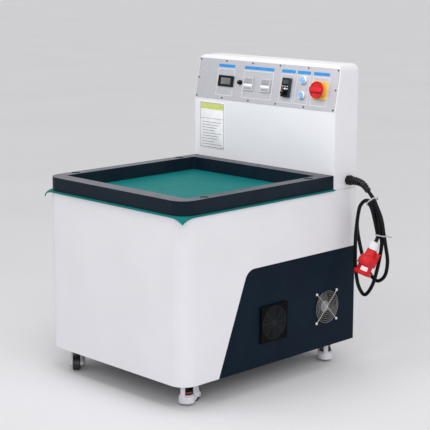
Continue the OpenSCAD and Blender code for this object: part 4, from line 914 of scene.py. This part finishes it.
# setting knob and the keypad's knob: fluted skirt, white pointer
knobSettings = {
    "speed": {"place": (-119.016, 69.495), "foot": 2.3,
              "flutes": (18, (1.0, 9.0, 0.7, 0.0, 0.3), 7.85, 5.2, 84),
              "pointer": (1.1, 5.2, 1.0, 0.2, 0.1), "pointerUp": 4.6, "pointerLift": 13.0},
    "inverter": {"place": (115.005, 48.46), "foot": 15.8,
                 "flutes": (14, (1.1, 9.0, 0.6, 0.0, 0.25), 6.95, 5.6, 87),
                 "pointer": (1.0, 4.6, 1.0, 0.2, 0.1), "pointerUp": 4.2, "pointerLift": 27.6},
}


def makeKnob(which):
    knob = knobSettings[which]
    x, t = knob["place"]
    node = which + "_knob"
    parts = [dress(node, blackPlastic, 0.7, keep=True)]
    parts += ribs(*knob["flutes"], onSlope(x, t, knob["foot"]), 0.5)
    settle(joined(which + "Knob", parts), blackPlastic, node)
    pointer = plateOn(which + "Pointer", knob["pointer"], x, t + knob["pointerUp"], knob["pointerLift"])
    settle(pointer, printWhite, body=node + "_body")


makeKnob("speed")

# inverter keypad: black face on a grey body, blank keys and dots
keypadSettings = {"window": (27, 15.5, 0.8, 0.8, 0.2), "windowPlace": (116.51, 88.1, 13.75),
                  "dot": (5.6, 3.0, 0.7, 1.2, 0.3), "dots": [(x, 71.6, 15.1) for x in (105.5, 116.5, 127.5)]}
keypad = dress("inverter_keypad", darkPlastic, 0.7)
keypad.data.materials.append(blackPlastic["material"])
faceNormal = onSlope(0, 0).to_3x3() @ Vector((0, 0, 1))
for face in keypad.data.polygons:
    if face.normal.dot(faceNormal) > 0.6:
        face.material_index = 1
settle(plateOn("keypadScreen", keypadSettings["window"], *keypadSettings["windowPlace"]), darkGlass)
dots = copies(roundedPlate("keyDot", *keypadSettings["dot"]),
              [onSlope(*place) for place in keypadSettings["dots"]])
settle(joined("keypadDots", dots), whiteNylon)
for node, finish in (("red_key", thumbRed), ("white_key", whiteNylon), ("blue_key", bluePlastic)):
    dress(node, finish, 0.6)
makeKnob("inverter")

# push buttons: polished bezel with an inner ring, domed cap
buttons = {"places": {"upper": (189.034, 99.0), "lower": (190.008, 45.495)}, "panel": 2.0}
bezelProfile = [(15.8, 0), (16, 0.6), (16, 4.0), (15.7, 5.4), (14.8, 6.6), (13.6, 7.2), (12.7, 7.3),
                (12.1, 6.9), (11.95, 1.0)]
bezelParts = copies(turned("bezel", bezelProfile, 48),
                    [onSlope(x, t, buttons["panel"]) for x, t in buttons["places"].values()])
settle(joined("buttonBezels", bezelParts), bezelMetal, "button_bezels", smooth=50)
capProfile = [(6, -16), (6, 4.4), (11.4, 4.6), (11.8, 5.2), (11.8, 7.8), (11.3, 8.7), (10.0, 9.3),
              (7.2, 9.6), (3.0, 9.7)]
for which, (x, t) in buttons["places"].items():
    cap = moved(turned(which + "Cap", capProfile, 48), onSlope(x, t, buttons["panel"]))
    settle(cap, bluePlastic, which + "_button", smooth=50)

# isolator: yellow plate with a round boss, red dial with a grip across it
isolator = {"place": (270.466, 69.405), "grip": (55, 17, 10.6, 4.0, 1.6), "gripLift": 20.4}
isolatorPlate = dress("isolator_plate", yellowPlastic, 0.8, keep=True)
boss = turned("isolatorBoss", [(24.6, 4.6), (24.2, 6.4), (24, 16.4), (23.4, 17), (5.2, 17), (5.2, 4)], 64)
moved(boss, onSlope(*isolator["place"]))
settle(joined("isolatorPlate", [isolatorPlate, boss]), yellowPlastic, "isolator_plate")
dial = turned("isolatorDial", [(4.9, -14), (4.9, 17.2), (29.3, 17.3), (30, 18), (30, 23.4), (29.4, 24),
                               (26.8, 24), (26, 23.2), (26, 21), (25.4, 20.6), (6, 20.6)], 64)
grip = roundedPlate("isolatorGrip", *isolator["grip"])
moved(grip, shift(0, 0, isolator["gripLift"]))
handle = moved(joined("isolatorHandle", [dial, grip]), onSlope(*isolator["place"]))
settle(handle, redNylon, "isolator_handle")
print("controls made")

# instruction card, left blank
card = {"left": -325, "right": -192, "low": 724, "high": 902, "thick": 0.9, "inkLift": 0.65, "ink": 0.3,
        "rules": 9, "ruleStep": 10.5, "ruleLine": 1.5, "ruleShares": (0.78, 0.09), "marginShare": 0.09,
        "firstRuleShare": 0.56, "dividerShare": 0.64, "header": 22, "headerDrop": 17.5}
cardWide = card["right"] - card["left"]
cardTall = card["high"] - card["low"]
cardX = (card["left"] + card["right"]) / 2
cardZ = (card["low"] + card["high"]) / 2
blankCard = roundedPlate("instructionCard", cardWide, cardTall, card["thick"], 4.0, 0.3)
settle(moved(blankCard, onFront(cardX, cardZ, -0.1)), cardFoil)
ink, inkLift = card["ink"], card["inkLift"]
inkParts = [moved(printedFrame("cardBorder", cardWide - 8, cardTall - 8, 1.6, ink),
                  onFront(cardX, cardZ, inkLift)),
            moved(roundedPlate("cardDivider", cardWide - 10, 1.2, ink),
                  onFront(cardX, card["low"] + cardTall * card["dividerShare"], inkLift))]
for i in range(card["rules"]):
    longest, shorter = card["ruleShares"]
    wide = cardWide * (longest - shorter * ((i * 5) % 4))
    middle = card["left"] + cardWide * card["marginShare"] + wide / 2
    height = card["low"] + cardTall * card["firstRuleShare"] - i * card["ruleStep"]
    rule = roundedPlate("cardRule", wide, card["ruleLine"], ink)
    inkParts.append(moved(rule, onFront(middle, height, inkLift)))
settle(joined("cardLines", inkParts), printGrey)
header = roundedPlate("cardHeader", cardWide - 12, card["header"], ink)
settle(moved(header, onFront(cardX, card["high"] - card["headerDrop"], 0.62)), cardGreen)
print("card made")

# fan: pressed hub and curved blades
fan = {"y": 269, "z": 228.5, "blades": 7, "pitch": 34, "bladeLong": 31.5, "bladeWide": 27, "camber": 2.6,
       "sweep": 5.0, "rootShare": 0.86, "flareShare": 0.3, "twist": -14, "bladeThick": 1.8, "bladeOut": 37.2,
       "bladeBack": 19}
hub = turned("fanHub", [(2.5, -38), (2.5, -33.7), (21, -33.7), (23, -32.4), (23, -6.4), (21.6, -4.6),
                        (18, -4.0), (9, -4.0), (8, -4.4), (3, -4.4)], 40)
clearSelection()
bpy.ops.mesh.primitive_grid_add(x_subdivisions=10, y_subdivisions=6, size=1)
blade = bpy.context.object
blade.scale = (fan["bladeLong"] * mm, fan["bladeWide"] * mm, 1)
applyPlace()
for spot in blade.data.vertices:  # cambered, and swept toward its tip
    out = spot.co.x / (fan["bladeLong"] * mm) + 0.5
    chord = spot.co.y / (fan["bladeWide"] / 2 * mm)
    spot.co.z += fan["camber"] * mm * (1 - chord * chord)
    spot.co.y = spot.co.y * (fan["rootShare"] + fan["flareShare"] * out) + fan["sweep"] * mm * out * out
addModifier(blade, "twist", "SIMPLE_DEFORM", deform_method="TWIST", deform_axis="X",
            angle=math.radians(fan["twist"]))
addModifier(blade, "thickness", "SOLIDIFY", thickness=fan["bladeThick"] * mm)
onHub = shift(fan["bladeOut"], 0, -fan["bladeBack"]) @ turnBy(fan["pitch"], "X")
fanParts = [hub] + copies(blade, [turn @ onHub for turn in allAround(fan["blades"])])
fanPlace = onRight(fan["y"], fan["z"])
settle(moved(joined("fanRotor", fanParts), fanPlace), bladePlastic, "fan_rotor", smooth=45)
hubCap = turned("fanHubLabel", [(20.6, -4.6), (21.2, -4.0), (20.8, -3.6), (6, -3.6)], 48)
settle(moved(hubCap, fanPlace), hubFoil, body="fan_rotor_body")
dress("fan_frame", castMetal, 0.7)

# wire guard: welded rings on two cross wires, eyelets and pan-head screws
guard = {"reach": 52.5, "rings": 7, "firstRing": 13, "lastRing": 57, "ringWire": 1.5, "ringLift": 7.9,
         "crossWire": 2.4, "crossLift": 6.25, "endDrop": 1.2, "endGap": 4.6, "eyelet": 4.3, "eyeletWire": 1.2,
         "eyeletLift": 4.6}


def addTorus(parts, radius, wire, place, steps):
    clearSelection()
    bpy.ops.mesh.primitive_torus_add(major_radius=radius * mm, minor_radius=wire * mm, major_segments=steps,
                                     minor_segments=10, location=Vector(place) * mm)
    parts.append(bpy.context.object)


ringParts, crossParts = [], []
step = (guard["lastRing"] - guard["firstRing"]) / (guard["rings"] - 1)
for i in range(guard["rings"]):
    addTorus(ringParts, guard["firstRing"] + i * step, guard["ringWire"] / 2, (0, 0, guard["ringLift"]), 64)
far = guard["reach"] * math.sqrt(2) - guard["endGap"]
for angle in (45, 135):
    path = []
    for out in (-far, -far + 4, -far + 9, 0, far - 9, far - 4, far):
        drop = guard["endDrop"] if abs(out) > far - 8 else 0
        path.append(turnBy(angle, "Z") @ Vector((out, 0, guard["crossLift"] - drop)) * mm)
    crossParts.append(tubeAlong("crossWire", path, [guard["crossWire"] / 2 * mm] * len(path), 12))
headProfile = [(2, -4), (2, 5.4), (4.2, 5.5), (4.4, 6.2), (4.0, 7.4), (2.9, 8.3), (2.0, 8.5), (1.6, 8.5),
               (1.2, 7.2)]
corners = [(y, z) for y in (-guard["reach"], guard["reach"]) for z in (-guard["reach"], guard["reach"])]
for y, z in corners:
    addTorus(crossParts, guard["eyelet"], guard["eyeletWire"], (y, z, guard["eyeletLift"]), 28)
screwHeads = copies(turned("guardScrew", headProfile, 24), [shift(y, z, 0) for y, z in corners])
settle(moved(joined("wireGuard", ringParts), fanPlace), ringWire, "wire_guard", smooth=60)
settle(moved(joined("guardCross", crossParts), fanPlace), chromeWire, smooth=60)
settle(moved(joined("guardScrews", screwHeads), fanPlace), bezelMetal, smooth=60)

# filter: ring grille with foam behind it
dress("filter_grille", grilleBlack, 0.7)
foam = turned("filterFoam", [(56, -6), (56.4, -5.6), (56.4, -0.6), (56, 0)], 64)
settle(moved(foam, onRight(grille["y"], grille["z"])), filterFoam)
print("fan and filter made")

# casters
for corner in caster["corners"]:
    dress(corner + "_housing", whiteEnamel, 0.9)
    dress(corner + "_wheel", wheelNylon, 1.6)
    dress(corner + "_thumbwheel", wheelNylon, 0.6)
    low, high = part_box(corner + "_thumbwheel")
    middle = (low + high) / 2 / mm
    bandMiddle = caster["bandTurn"] + (0 if corner == "front_right" else 180)
    bandPath = []
    for k in range(-caster["bandSteps"], caster["bandSteps"] + 1):
        angle = bandMiddle + caster["bandSweep"] * k / caster["bandSteps"]
        place = Vector((caster["bandRadius"], 0, middle.z + caster["bandRise"])) * mm
        bandPath.append(turnBy(angle, "Z") @ place)
    band = tubeAlong(corner + "_thumbBand", bandPath, [caster["bandThick"] * mm] * len(bandPath), 12)
    settle(moved(band, shift(middle.x, middle.y, 0)), thumbRed, body=corner + "_thumbwheel_body")
    dress(corner + "_foot", footRubber, 0.8)
    rivetPlaces = [atCaster(corner) @ shift(caster["trail"], side * caster["bossFace"], caster["axle"])
                   @ turnBy(-90 * side, "X") for side in (-1, 1)]
    rivets = copies(turned("axleRivet", caster["rivet"], 28), rivetPlaces)
    settle(joined(corner + "_rivets", rivets), brightSteel, body=corner + "_caster")
dress("caster_plates", brightSteel, 0.6)
print("casters made")

# screws that hold the covers at the back
covers = {"panel": (-330, -110, 110, 330), "panelRows": (104, 616), "cover": (-330, 0, 330),
          "coverRows": (658, 1048), "sides": (-330, 330), "panelMiddle": 360, "coverMiddle": 855}
coverProfile = [(4.4, -0.2), (4.6, 0.4), (4.2, 1.5), (3.0, 2.3), (2.0, 2.5), (1.6, 2.5), (1.3, 1.2)]
backScrew = turned("coverScrew", coverProfile, 24)
backPlaces = [(x, z) for x in covers["panel"] for z in covers["panelRows"]]
backPlaces += [(x, covers["panelMiddle"]) for x in covers["sides"]]
backPlaces += [(x, z) for x in covers["cover"] for z in covers["coverRows"]]
backPlaces += [(x, covers["coverMiddle"]) for x in covers["sides"]]
settle(joined("coverScrews", copies(backScrew, [onBack(x, z) for x, z in backPlaces])), brightSteel)
print("back made")
